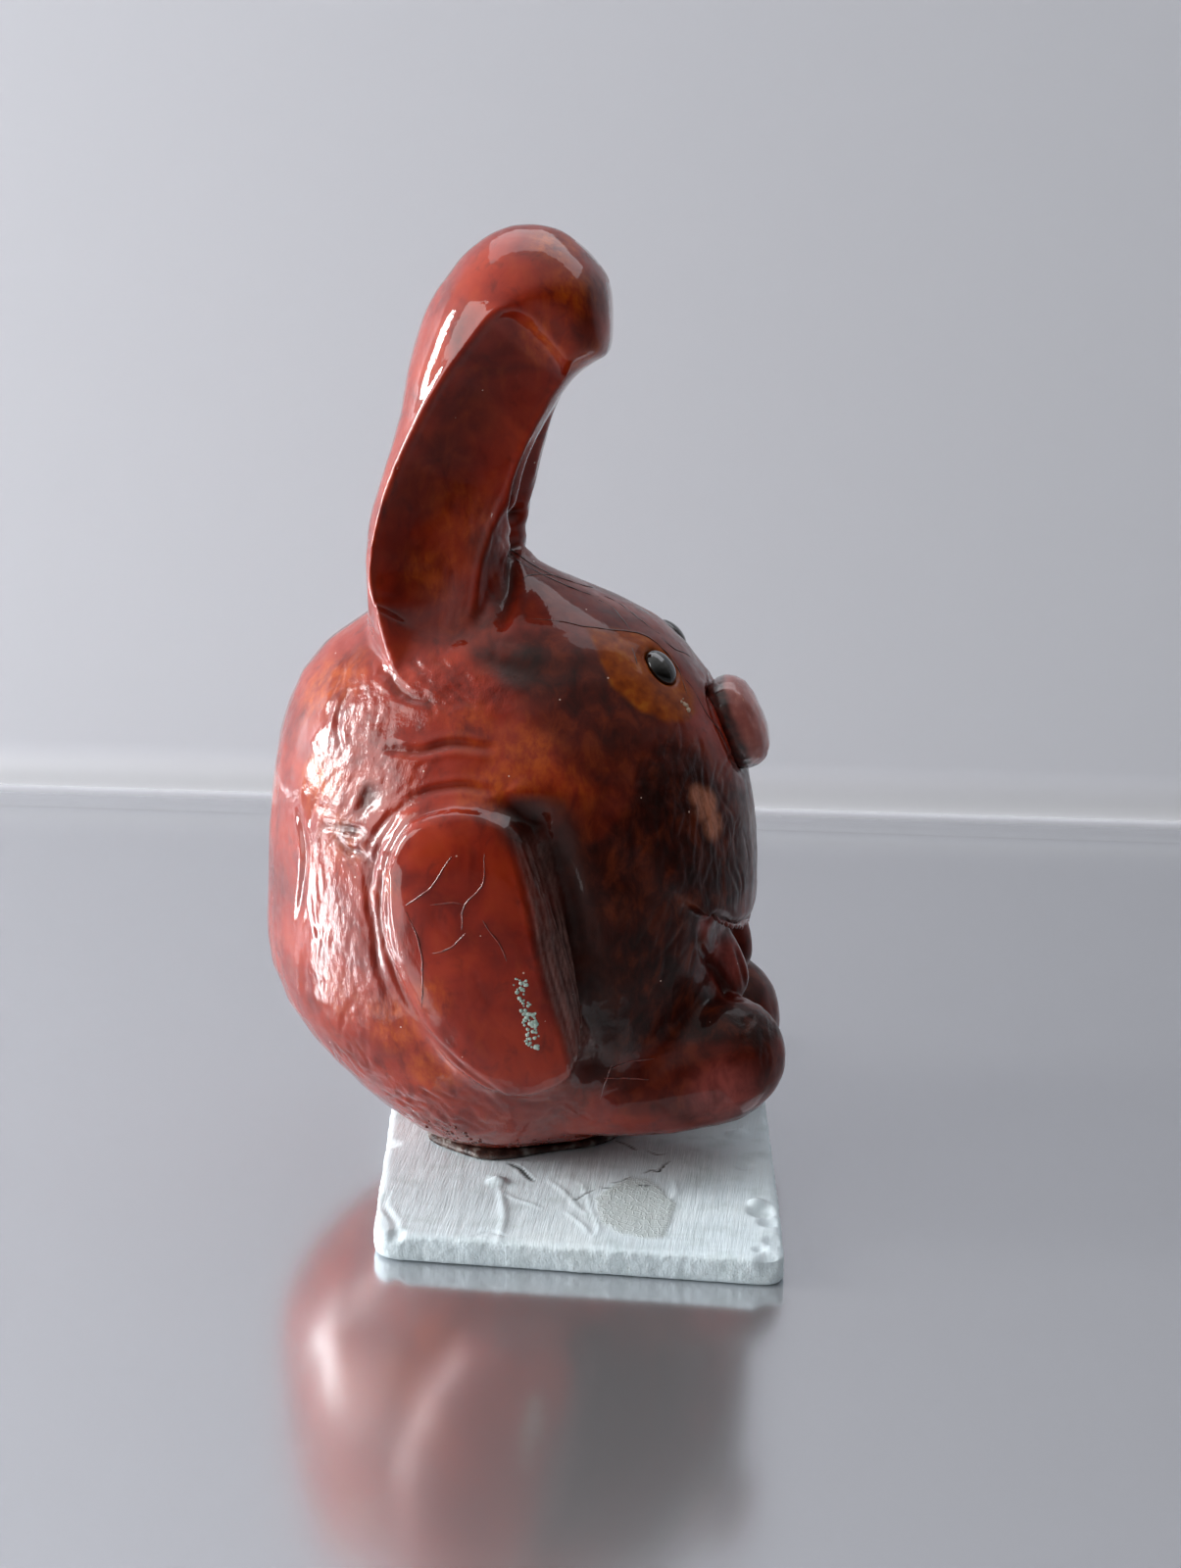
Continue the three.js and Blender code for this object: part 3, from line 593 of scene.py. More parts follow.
# Dark brown paint, with painted shade in the pits, under the ear and in the hollow before the
# haunch.
BROWN_AND_SHADE = [(532, 842, 5, 1), (585, 960, 6, 1), (600, 1010, 5, 1), (536, 678, 5, 1),
         (570, 690, 6, 0.7), (690, 800, 11, 0.75), (700, 870, 11, 0.7), (745, 900, 8, 0.8),
         (660, 1000, 11, 0.6), (700, 1030, 9, 0.75), (640, 1050, 8, 0.6), (770, 1045, 6, 1),
         (620, 900, 9, 0.55), (565, 880, 5, 0.8), (590, 880, 7, 0.5), (595, 700, 8, 0.6),
         (640, 740, 8, 0.5), (480, 640, 5, 0.6), (430, 500, 6, 0.3), (480, 420, 6, 0.4),
         (612, 300, 5, 0.8), (600, 340, 4, 0.6), (495, 560, 4, 0.6), (455, 460, 5, 0.5),
         (740, 730, 5, 0.8), (752, 780, 5, 0.9), (560, 1130, 8, 0.3), (500, 660, 5, 0.6),
         (376, 812, 3, 0.6), (352, 848, 2.5, 0.7)]
PEACH = [(721, 822, 3.2, 1), (728, 842, 2.8, 0.9), (712, 812, 2.2, 0.8)]
# Painted sheen: the pale board and wall mirrored in the varnish on the toe, the paw and the back's
# edge.
PAINTED_SHEEN = [(345, 960, 6, 0.3), (740, 1118, 7, 0.8), (742, 975, 6, 0.75), (722, 940, 3, 0.8)]


# Dark brown wash and painted shade over whole areas, darkest on the side away from the window
# and under the belly: softness in pixels, strength, outline in the picture
WASHES_AND_SHADE = [
    (20, 0.68, [(528, 640), (560, 634), (620, 645), (700, 745), (772, 790), (790, 940), (800, 1010),
               (810, 1060), (790, 1100), (735, 1084), (640, 1096), (600, 1070), (575, 900),
               (560, 840), (600, 806), (565, 770), (530, 720)]),
    (16, 0.9, [(572, 870), (610, 850), (660, 770), (720, 785), (776, 800), (790, 900), (724, 950),
               (716, 1000), (745, 1016), (810, 1020), (806, 1060), (758, 1076), (700, 1066),
               (640, 1084), (612, 1076), (590, 1000)]),
    (16, 0.75, [(596, 1070), (640, 1084), (700, 1066), (745, 1060), (800, 1040), (806, 1100),
               (760, 1150), (700, 1150), (640, 1130), (600, 1104)]),
    (12, 0.5, [(496, 560), (540, 560), (600, 596), (660, 626), (720, 672), (732, 700), (720, 724),
               (702, 712), (640, 680), (538, 640), (500, 640)]),
    (14, 0.35, [(392, 520), (440, 440), (480, 380), (520, 330), (560, 370), (560, 400), (520, 480),
               (498, 560), (480, 650), (440, 676), (400, 640)]),
]
wobble = np.column_stack([wave(points, 3.5, 8), wave(points, 3.5, 9)]) * 5
wash_and_shade = np.zeros(len(points))
for soft, strength, outline in WASHES_AND_SHADE:
    edge = np.array(outline, float)
    wash_and_shade = np.maximum(wash_and_shade, inside(in_picture + wobble, edge, soft) * strength * front)
paint = {
    "ochre": inside(in_picture + wobble, OCHRE_EDGE, 3.5) * front,
    "amber": patches(folded, AMBER),
    "brown_and_shade": patches(folded, BROWN_AND_SHADE),
    "wash_and_shade": wash_and_shade,
    "peach": patches(folded, PEACH),
    "painted_sheen": patches(folded, PAINTED_SHEEN),
    "groove": averaged(skin.data, groove, 3),
    "crest_and_highlight": np.clip(crest_and_highlight / CREST, 0, 1) * front,
    "rough": rough,
}


def keep_share(mesh, name, share):
    """Stores a value for each point of a mesh, for its finish or a geometry tree to read."""
    kept = mesh.attributes.new(name, "FLOAT", "POINT")
    kept.data.foreach_set("value", np.asarray(share, np.float32))


for name, share in paint.items():
    keep_share(skin.data, name, share)
print("painted shares:", {name: round(float(share.mean()), 3) for name, share in paint.items()})

# %% [markdown]
# ## Back to single pieces
# The figurine stays an assembly, so the skin is cut back into the ten clay pieces that the CAD
# names. A boolean with each CAD solid would leave slivers. Instead each face of the skin goes to
# the solid that it lies nearest to, lone faces are given to their neighbours, and each piece is
# closed where it was cut. The pieces keep the whole skin's normals, so no seam shows.

# %% Give each face to its nearest solid
skin_normals = normals(skin.data)
middles = np.array([face.center for face in skin.data.polygons])
label = nearest_solids(middles)

cut = bmesh.new()
cut.from_mesh(skin.data)
cut.faces.ensure_lookup_table()
cut.verts.ensure_lookup_table()
beside = [[other.index for edge in face.edges for other in edge.link_faces if other is not face]
          for face in cut.faces]
around = [[face.index for face in vert.link_faces] for vert in cut.verts]
widest = max(map(len, beside))
padded_beside = np.array([row + [i] * (widest - len(row)) for i, row in enumerate(beside)])


def vote(label, rounds):
    """Each face takes the label that most of its neighbours have."""
    for _ in range(rounds):
        votes = np.zeros((len(label), len(CLAY)), np.int8)
        for column in range(widest):
            np.add.at(votes, (np.arange(len(label)), label[padded_beside[:, column]]), 2)
        np.add.at(votes, (np.arange(len(label)), label), 1)
        label = votes.argmax(axis=1)
    return label


def drop_islands(label):
    """Of each piece only the largest patch stays, and the others go to what surrounds them."""
    label = label.copy()
    seen = np.zeros(len(label), bool)
    patches_of = {}
    for first in range(len(label)):
        if seen[first]:
            continue
        seen[first] = True
        patch, edge = [first], [first]
        while edge:
            face = edge.pop()
            for other in beside[face]:
                if not seen[other] and label[other] == label[first]:
                    seen[other] = True
                    patch.append(other)
                    edge.append(other)
        patches_of.setdefault(label[first], []).append(patch)
    for number, found in patches_of.items():
        for patch in sorted(found, key=len)[:-1]:
            rim = [label[other] for face in patch for other in beside[face]
                   if label[other] != number]
            label[patch] = np.bincount(rim).argmax()
    return label


def part_corners(label):
    """Where two patches of one piece meet only at a point, the faces round it become one piece."""
    label = label.copy()
    changed = 0
    for ring in around:
        here = label[ring]
        if (here == here[0]).all():
            continue
        for number in set(here):
            inner = {face for face in ring if label[face] == number}
            start = next(iter(inner))
            linked, edge = {start}, [start]
            while edge:
                for other in beside[edge.pop()]:
                    if other in inner and other not in linked:
                        linked.add(other)
                        edge.append(other)
            if len(linked) < len(inner):
                label[ring] = np.bincount(label[ring]).argmax()
                changed += 1
                break
    return label, changed


label = vote(label, 6)
for _ in range(12):
    label = drop_islands(label)
    label, changed = part_corners(label)
    if not changed:
        break
print("faces of each piece:", dict(zip(CLAY, np.bincount(label).tolist())), "left:", changed)

# %% Cut the skin and close each piece
HUB_STEP = 4 * MM
LIP = 1.0 * MM  # how far a cut edge turns in under the skin before it is closed
cut_tree = BVHTree.FromBMesh(cut)


def hub_inside(ring):
    """The point inside the skin that most of a ring can see, so that a fan to it stays inside."""
    few = ring[::max(1, len(ring) // 60)]
    middle = sum(few, Vector()) / len(few)
    found = []
    for step in itertools.product(range(-3, 4), repeat=3):
        hub = middle + Vector(step) * HUB_STEP
        nearest, normal, _, _ = cut_tree.find_nearest(hub)
        if (nearest - hub).dot(normal) > 1.2 * MM:
            blocked = sum(cut_tree.ray_cast(p, hub - p, (hub - p).length)[0] is not None
                          for p in few)
            found.append((blocked, (hub - middle).length, hub))
    found = sorted(found, key=lambda row: row[:2])[:6]
    blocked = [sum(cut_tree.ray_cast(p, hub - p, (hub - p).length)[0] is not None for p in ring)
               for _, _, hub in found]
    best = int(np.argmin(blocked))
    return found[best][2], blocked[best]


def closed_piece(node, number):
    """The mesh of the skin's patch with one label, each hole closed by a lip and a fan."""
    piece = cut.copy()
    piece.faces.ensure_lookup_table()
    bmesh.ops.delete(piece, geom=[face for face in piece.faces if label[face.index] != number],
                     context="FACES")
    rim = {edge for edge in piece.edges if edge.is_boundary}
    while rim:
        edge = rim.pop()
        loop = [edge.verts[0], edge.verts[1]]
        while loop[-1] is not loop[0]:
            edge = next(e for e in loop[-1].link_edges if e in rim)
            rim.discard(edge)
            loop.append(edge.other_vert(loop[-1]))
        loop.pop()
        under = np.array([vert.co - vert.normal * LIP for vert in loop])
        for _ in range(6):
            under = (np.roll(under, 1, axis=0) + 2 * under + np.roll(under, -1, axis=0)) / 4
        place, blocked = hub_inside([Vector(p) for p in under])
        print(node, "cut of", len(loop), "edges, rays blocked:", blocked)
        ring = [piece.verts.new(p) for p in under]
        hub = piece.verts.new(place)
        for i in range(len(loop)):
            piece.faces.new((loop[i - 1], loop[i], ring[i], ring[i - 1]))
            piece.faces.new((ring[i - 1], ring[i], hub))
    bmesh.ops.recalc_face_normals(piece, faces=piece.faces)
    data = bpy.data.meshes.new(f"clay_{node}")
    piece.to_mesh(data)
    piece.free()
    return data


clay = {}
for number, node in enumerate(CLAY):
    data = closed_piece(node, number)
    kept = sorted({v for f in np.flatnonzero(label == number) for v in skin_faces[f]})
    piece = new_object(f"clay_{node}", data)
    smooth_normals = np.zeros((len(data.vertices), 3))
    smooth_normals[:, 2] = 1
    smooth_normals[:len(kept)] = skin_normals[kept]
    data.shade_smooth()
    data.normals_split_custom_set_from_vertices([tuple(n) for n in smooth_normals])
    clay[node] = piece
cut.free()
bpy.data.objects.remove(skin)
print("pieces:", {node: len(piece.data.vertices) for node, piece in clay.items()})

# %% [markdown]
# ## Nodes for the finishes
# Every finish is made of shader nodes on Object coordinates, so that it stays where it is on the
# piece in every view. One helper adds a node with its settings and links, for shader and geometry
# trees alike, and one turns a colour as it is written on a colour chart into linear light.

# %% Node and colour helpers
def linear(code):
    """An sRGB hex colour as linear red, green, blue and alpha."""
    parts = [int(code[i:i + 2], 16) / 255 for i in (1, 3, 5)]
    return (*[c / 12.92 if c <= 0.04045 else ((c + 0.055) / 1.055) ** 2.4 for c in parts], 1)


MATH, MIX, RAMP, KEPT = ("ShaderNodeMath", "ShaderNodeMix", "ShaderNodeValToRGB",
                         "ShaderNodeAttribute")


def connect(tree, node, inputs):
    """Gives a node's sockets their values, or links them to other nodes' outputs."""
    for socket, value in inputs.items():
        if isinstance(value, bpy.types.NodeSocket):
            tree.links.new(value, node.inputs[socket])
        else:
            node.inputs[socket].default_value = value


def add(tree, kind, inputs=(), give=None, stops=(), **settings):
    """Adds a node with its settings and links, and hands back one of its outputs.

    inputs maps a socket to a value or to another node's output, stops are a ramp's positions with
    colours or grey levels, and give names the output where it isn't the first one in use."""
    node = tree.nodes.new(kind)
    for name, value in settings.items():
        setattr(node, name, value)
    connect(tree, node, dict(inputs))
    if stops:
        colours = node.color_ramp.elements
        while len(colours) < len(stops):
            colours.new(1)
        for element, (position, colour) in zip(colours, stops):
            element.position = position
            element.color = linear(colour) if isinstance(colour, str) else (*[colour] * 3, 1)
    return node.outputs[give] if give else next((o for o in node.outputs if o.enabled), None)


def new_finish(name):
    finish = bpy.data.materials.new(name)
    finish.use_nodes = True
    shader = finish.node_tree.nodes["Principled BSDF"]
    return finish, finish.node_tree, shader


def grain(tree, size, detail=2.0, stretch=(1, 1, 1), roughness=0.5, distortion=0.0):
    """A pattern with lumps of a size in millimetres, drawn out along the axes by stretch."""
    here = add(tree, "ShaderNodeTexCoord", give="Object")
    scaled = add(tree, "ShaderNodeMapping", {"Vector": here,
                                             "Scale": [1 / (size * MM * s) for s in stretch]})
    return add(tree, "ShaderNodeTexNoise",
               {"Vector": scaled, "Scale": 1.0, "Detail": detail, "Roughness": roughness,
                "Distortion": distortion}, give="Fac")


def worked_up(tree, colour, layers):
    """A base colour under layers of paint.

    Each layer is the name of a stored share or None, a colour, and a strength. Its colour and its
    strength may each be a pattern with a ramp's stops instead."""
    for share, paint, strength in layers:
        if isinstance(paint, tuple):
            paint = add(tree, RAMP, {0: paint[0]}, stops=paint[1])
        elif isinstance(paint, str):
            paint = linear(paint)
        if isinstance(strength, tuple):
            strength = add(tree, RAMP, {0: strength[0]}, stops=strength[1])
        if share:
            kept = add(tree, KEPT, give="Fac", attribute_name=share)
            strength = add(tree, MATH, {0: kept, 1: strength}, operation="MULTIPLY")
        colour = add(tree, MIX, {0: strength, 6: colour, 7: paint}, data_type="RGBA")
    return colour


# %% [markdown]
# ## Brick-red glaze
# The real finish is acrylic paint, brick red washed over with orange and dark brown, under a thick
# clear varnish. The varnish is a separate clear layer over the paint, so the shader's coat is used
# for it: nearly smooth, with the index of a varnish film, 1.5. Under it the paint is half matt.
# Fine hairs of the brush and wrinkles are about a third of a millimetre across.

# %% Brick-red glaze
glaze, tree, shader = new_finish("varnished_brick_red_paint")
broad = grain(tree, 9, 4, distortion=0.8)
blotch = grain(tree, 3.2, 5, (1, 1, 1.6), 0.6, 0.5)
fleck = grain(tree, 1.1, 3, (1, 1, 2.2), 0.6)
here = add(tree, "ShaderNodeTexCoord", give="Object")
DUST_SPACING = 3.4 * MM
DUST_SIZE = 0.045  # radius of a speck, as a share of the spacing
DUST_MISSING = 0.6  # share of the places that stay clean
dust = add(tree, "ShaderNodeTexVoronoi", {"Vector": here, "Scale": 1 / DUST_SPACING}).node.outputs
speck = add(tree, MATH, {
    0: add(tree, MATH, {0: dust["Distance"], 1: DUST_SIZE}, operation="LESS_THAN"),
    1: add(tree, MATH, {0: add(tree, "ShaderNodeSeparateColor", {0: dust["Color"]}),
                        1: DUST_MISSING}, operation="GREATER_THAN")}, operation="MULTIPLY")
brick = add(tree, RAMP, {0: broad}, stops=[(0.3, "#701607"), (0.5, "#8A210B"), (0.72, "#9E2E10")])
colour = worked_up(tree, brick, [
    (None, "#A03C10", (blotch, [(0.52, 0.0), (0.72, 0.26)])),
    (None, "#4A0E08", (blotch, [(0.3, 0.5), (0.46, 0.0)])),
    ("amber", (fleck, [(0.35, "#963408"), (0.6, "#BC540C")]), (blotch, [(0.36, 0.1), (0.6, 1.0)])),
    # dark brown paint, and painted shade in pits and hollows
    ("brown_and_shade", (fleck, [(0.35, "#140604"), (0.65, "#34110A")]), (blotch, [(0.38, 1.0), (0.68, 0.6)])),
    # dark brown wash, darkened further as painted shade away from the window and under the belly
    ("wash_and_shade", (blotch, [(0.35, "#180704"), (0.5, "#2E0E07"), (0.68, "#5A2410")]), 1.0),
    # painted sheen, the pale board mirrored in the varnish
    ("painted_sheen", "#A8504A", (blotch, [(0.35, 0.3), (0.6, 0.8)])),
    ("peach", "#C07A5E", (fleck, [(0.3, 0.4), (0.55, 1.0)])),
    ("ochre", (grain(tree, 2.2, 4), [(0.3, "#702A04"), (0.55, "#944207"), (0.8, "#B0641A")]), 1.0),
    # painted shade, darker the deeper the groove
    ("groove", "#2A0D07", 0.75),
    # painted highlight on the crests between the fibres
    ("crest_and_highlight", "#7E5A54", (fleck, [(0.3, 0.3), (0.6, 0.9)])),
    (None, "#D9B7A8", speck)])
roughness = add(tree, RAMP, {0: grain(tree, 1.6, 3)}, stops=[(0.3, 0.34), (0.7, 0.5)])
# the varnish is thin over the wash and painted shade, and over the ochre
wash_and_shade, ochre = (add(tree, KEPT, give="Fac", attribute_name=name) for name in ("wash_and_shade", "ochre"))
varnish = add(tree, MATH, {0: wash_and_shade, 1: -0.75, 2: 1.0}, operation="MULTIPLY_ADD")
varnish = add(tree, MATH, {0: ochre, 1: -0.4, 2: varnish}, operation="MULTIPLY_ADD")
hairs = grain(tree, 0.34, 2, (1, 1, 5), 0.6)
crinkle = grain(tree, 0.55, 3, (1, 1, 1.5), 0.65, 1.2)
wrinkle = add(tree, MATH, {0: hairs, 1: crinkle}, operation="ADD")
wrinkle = add(tree, MATH, {0: wrinkle, 1: add(tree, KEPT, give="Fac", attribute_name="rough")},
              operation="MULTIPLY")
wrinkle = add(tree, MATH, {0: wrinkle, 1: 0.6}, operation="MULTIPLY")
film = add(tree, MATH, {0: grain(tree, 1.4, 2), 1: 0.35, 2: wrinkle}, operation="MULTIPLY_ADD")
bump = add(tree, "ShaderNodeBump", {"Height": film, "Distance": 0.12 * MM, "Strength": 0.7})
connect(tree, shader, {
    "Base Color": colour, "Roughness": roughness, "Normal": bump, "Coat Normal": bump,
    "Specular IOR Level": 0.1,  # the paint is under varnish
    "Coat Weight": varnish, "Coat Roughness": 0.035, "Coat IOR": 1.5})
for node, piece in clay.items():
    piece.data.materials.clear()
    piece.data.materials.append(glaze)
    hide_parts(node)
    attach(piece, "root")
print("glaze nodes:", len(tree.nodes))

# %% [markdown]
# ## Nose and eyes
# The nose is a thick pad of clay with a pink face and a dark, unpainted edge. The eyes are black
# enamelled beads pressed into the head. Spheres and a bevelled block would be too regular, so each
# is remeshed from its solid as the skin was, with a finer voxel because they are small.

# %% Nose pad
NOSE_VOXEL = 0.22 * MM
nose = remeshed("nose_pad", [merged("nose")], NOSE_VOXEL)
move_to(nose.data, averaged(nose.data, places(nose.data), 14))
at, out = places(nose.data), normals(nose.data)
lumps = wave(at, 4.2, 21) * 0.22 * MM + wave(at, 1.6, 22) * 0.06 * MM
move_to(nose.data, at + out * lumps[:, None])
centred = at - at.mean(axis=0)
nose_axis = np.linalg.svd(centred[::7], full_matrices=False)[2][-1]
nose_axis *= np.sign(nose_axis[0])
face_share = smooth_step(centred @ nose_axis + wave(at, 2, 23) * 0.5 * MM, 0.2 * MM, 1.3 * MM)
keep_share(nose.data, "face", face_share)
finish, tree, shader = new_finish("varnished_pink_paint")
# Pink acrylic on the face of the pad and bare dark clay round it, under the same varnish: a soft
# sheen with small lights. The pale lines are brush marks half a millimetre apart.
rosy = add(tree, RAMP, {0: grain(tree, 2.4, 4)},
           stops=[(0.3, "#8E4740"), (0.55, "#A65B52"), (0.75, "#B97063")])
rosy = worked_up(tree, rosy, [
    (None, "#C98268", (grain(tree, 0.5, 2, (1, 1, 6)), [(0.66, 0.0), (0.72, 0.7)]))])
dark = add(tree, RAMP, {0: grain(tree, 1.2, 3)}, stops=[(0.35, "#2C0E09"), (0.65, "#5A2014")])
roughness = add(tree, RAMP, {0: grain(tree, 1, 2)}, stops=[(0.3, 0.35), (0.7, 0.5)])
bump = add(tree, "ShaderNodeBump", {"Height": grain(tree, 0.6, 3, (1, 1, 3)),
                                    "Distance": 0.06 * MM, "Strength": 0.6})
connect(tree, shader, {
    "Base Color": worked_up(tree, dark, [("face", rosy, 1.0)]), "Roughness": roughness,
    "Normal": bump, "Coat Normal": bump, "Coat Weight": 1.0, "Coat Roughness": 0.08})
nose.data.materials.append(finish)
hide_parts("nose")
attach(nose, "root")
print("nose points:", len(nose.data.vertices))

# %% Eye beads
bead, tree, shader = new_finish("black_enamel")
# Black enamel is hard and smooth, so the eye sees a small sharp light and hardly any colour.
black = add(tree, RAMP, {0: grain(tree, 1.5, 3)}, stops=[(0.3, "#060504"), (0.7, "#120E0A")])
bump = add(tree, "ShaderNodeBump", {"Height": grain(tree, 1.2, 2), "Distance": 0.03 * MM,
                                    "Strength": 0.3})
connect(tree, shader, {"Base Color": black, "Roughness": 0.12, "IOR": 1.52, "Normal": bump,
                       "Coat Weight": 1.0, "Coat Roughness": 0.02})
EYE_VOXEL = 0.12 * MM
FAR_EYE_SUNK = 0.6 * MM  # the far bead sits deeper, behind the cheek's outline
for side in ("right", "left"):
    eye = remeshed(f"eye_bead_{side}", [merged(f"eye_{side}")], EYE_VOXEL)
    at = averaged(eye.data, places(eye.data), 10)
    if side == "left":
        at[:, 1] -= np.sign(at[:, 1].mean()) * FAR_EYE_SUNK
    move_to(eye.data, at)
    eye.data.materials.append(bead)
    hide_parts(f"eye_{side}")
    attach(eye, "root")
print("eye points:", len(eye.data.vertices))

# %% [markdown]
# ## Painted board and glue
# The board was cut by hand and painted thickly, so the brush left ridges that run from side to
# side of the rabbit, the front edge is stippled, the corners are knocked, and old adhesive makes
# raised smears and a glossy puddle with fine crackle. All of that but the crackle is height in
# the mesh. The paint's material adds the crackle, the finest bristle lines and grit at the edge.

# %% Board with brush ridges, smears and chips
BOARD_VOXEL = 0.42 * MM
board = remeshed("painted_board", [merged("base_slab")], BOARD_VOXEL)
move_to(board.data, averaged(board.data, places(board.data), 5))
at, out = places(board.data), normals(board.data)
board_tree = BVHTree.FromPolygons([tuple(p) for p in at],
                                  [list(face.vertices) for face in board.data.polygons])
SMEARS = [  # width mm, depth mm, minus is raised, picture positions
    (0.9, -0.3, [(508, 1207), (512, 1222), (514, 1243), (507, 1275)]),
    (2.2, -0.5, [(505, 1202), (510, 1208)]),
    (0.6, -0.22, [(511, 1214), (522, 1222), (540, 1228), (552, 1233)]),
    (0.5, -0.2, [(577, 1236), (595, 1251), (603, 1262)]),
    (0.5, -0.2, [(603, 1232), (608, 1245), (611, 1256), (605, 1264)]),
    (0.6, -0.2, [(560, 1204), (575, 1216), (590, 1232), (600, 1240)]),
    (0.5, -0.16, [(592, 1206), (600, 1222), (603, 1236)]),
    (0.4, 0.14, [(689, 1229), (687, 1241), (680, 1257), (674, 1264)]),
    (0.5, -0.16, [(689, 1205), (690, 1218), (683, 1226)]),
    (0.6, 0.14, [(484, 1262), (500, 1258), (514, 1262)]),
    (0.8, 0.25, [(395, 1217), (392, 1230), (402, 1246), (404, 1260)]),
    (0.7, -0.25, [(746, 1162), (756, 1154), (762, 1146)]),
]
CRACKS = [
    (0.5, 0.3, [(519, 1187), (530, 1192), (537, 1199), (544, 1205)]),
    (0.32, 0.2, [(586, 1225), (594, 1220), (606, 1214)]),
    (0.3, 0.2, [(612, 1211), (618, 1212), (625, 1213)]),
    (0.34, 0.22, [(624, 1207), (633, 1206), (642, 1202)]),
    (0.3, 0.2, [(650, 1211), (656, 1210), (663, 1211)]),
    (0.36, 0.22, [(658, 1197), (665, 1194), (672, 1196), (677, 1190), (684, 1185)]),
    (0.34, 0.22, [(662, 1175), (670, 1178), (679, 1178)]),
    (0.34, 0.22, [(630, 1164), (640, 1168), (649, 1173)]),
]
KNOCKS = [(778, 1236, 2.6, 0.9), (772, 1228, 1.6, -0.6), (785, 1247, 2.0, 0.7),
          (775, 1275, 1.1, 0.4), (752, 1158, 2.2, -0.5), (786, 1288, 2.4, 0.8),
          (404, 1259, 1.6, 0.6), (386, 1280, 2.4, 0.5), (760, 1190, 1.8, 0.4),
          (790, 1266, 2.0, 0.5), (397, 1168, 2.0, 0.4), (508, 1206, 2.0, -0.3)]
PUDDLE = np.array([(609, 1223), (642, 1203), (671, 1209), (689, 1229), (685, 1247), (676, 1264),
                   (654, 1262), (637, 1258), (615, 1250)], float)


def board_patches(rows):
    height = np.zeros(len(at))
    for x, y, radius, depth in rows:
        place = spot_on(board_tree, x, y)
        if place:
            away = np.linalg.norm(at - np.array(place), axis=1) / (radius * MM)
            height -= depth * MM * (1 - smooth_step(away, 0.3, 1.1))
    return height


top = smooth_step(out[:, 2], 0.6, 0.95)
edge = 1 - smooth_step(np.abs(out[:, 2]), 0.5, 0.9)
under = smooth_step(-out[:, 2], 0.5, 0.9)
bristles = wave(at, (0.9, 14, 3), 31) + 0.6 * wave(at, (0.45, 7, 3), 32)
crossed = wave(at, (9, 0.8, 3), 33) * smooth_step(wave(at, 18, 34), 0.0, 0.4)
stipple = wave(at, 0.9, 35) + 0.5 * wave(at, 0.5, 36)
height = (bristles * 0.05 + crossed * 0.03) * MM * top + stipple * 0.11 * MM * edge
height += wave(at, 11, 37) * 0.15 * MM * (1 - under) + wave(at, 4, 38) * 0.16 * MM * edge
smears = pressed(at, [(trail(spots, board_tree), width, depth) for width, depth, spots in SMEARS])
cracks = pressed(at, [(trail(spots, board_tree), width, depth) for width, depth, spots in CRACKS])
height += (smears + cracks + board_patches(KNOCKS)) * (1 - under)
puddle = inside(seen_at(at) + np.column_stack([wave(at, 3, 39), wave(at, 3, 40)]) * 4,
                PUDDLE, 2.5) * top
height += puddle * 0.12 * MM
height = np.minimum(height, 0.28 * MM + 0.5 * MM * top) * (1 - 0.8 * under)
move_to(board.data, np.clip(at + out * height[:, None], low + [ROOM, ROOM, 0], high - ROOM))
crack = np.clip(cracks / (-0.14 * MM), 0, 1)
for name, share in {"puddle": puddle, "crack": crack, "edge": edge}.items():
    keep_share(board.data, name, share)
print("board points:", len(board.data.vertices))

# %% Board paint
finish, tree, shader = new_finish("brushed_pale_blue_grey_paint")
# Thick matt acrylic brushed onto wood: hardly any sheen, and fine ridges that catch the side light.
# The bristle lines are about a quarter of a millimetre apart, and the puddle's crackle 1.3 mm.
tone = add(tree, RAMP, {0: grain(tree, 14, 4)},
           stops=[(0.3, "#D0DEE4"), (0.5, "#DCEAF0"), (0.75, "#E4F0F4")])
tone = worked_up(tree, tone, [
    (None, "#AEBFBF", (grain(tree, 5, 4), [(0.5, 0.0), (0.75, 0.5)])),
    (None, "#DCE4E8", (grain(tree, 0.5, 3, (1, 22, 4)), [(0.5, 0.0), (0.75, 0.4)])),
    ("edge", "#97A19D", (grain(tree, 0.45, 3), [(0.6, 0.0), (0.75, 0.5)])),
    ("puddle", "#B4BDB8", 0.5),
    ("crack", "#1C2420", 1.0)])
in_puddle, at_edge = (add(tree, KEPT, give="Fac", attribute_name=name)
                      for name in ("puddle", "edge"))
gloss = add(tree, MATH, {0: in_puddle, 1: -0.3, 2: 0.62}, operation="MULTIPLY_ADD")
CRACKLE = 1.3 * MM
here = add(tree, "ShaderNodeTexCoord", give="Object")
crackle = add(tree, "ShaderNodeTexVoronoi", {"Vector": here, "Scale": 1 / CRACKLE},
              give="Distance", feature="DISTANCE_TO_EDGE")
crackle = add(tree, RAMP, {0: crackle}, stops=[(0.0, 1.0), (0.09, 0.0)])
crackle = add(tree, MATH, {0: crackle, 1: in_puddle}, operation="MULTIPLY")
bristle = grain(tree, 0.28, 3, (1, 18, 4), 0.6)
grit = add(tree, MATH, {0: grain(tree, 0.35, 3), 1: at_edge}, operation="MULTIPLY")
film = add(tree, MATH, {0: crackle, 1: 0.8, 2: bristle}, operation="MULTIPLY_ADD")
film = add(tree, MATH, {0: film, 1: grit}, operation="ADD")
bump = add(tree, "ShaderNodeBump", {"Height": film, "Distance": 0.1 * MM, "Strength": 0.8})
connect(tree, shader, {"Base Color": tone, "Roughness": gloss, "IOR": 1.47, "Normal": bump})
board.data.materials.append(finish)
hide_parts("base_slab")
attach(board, "root")

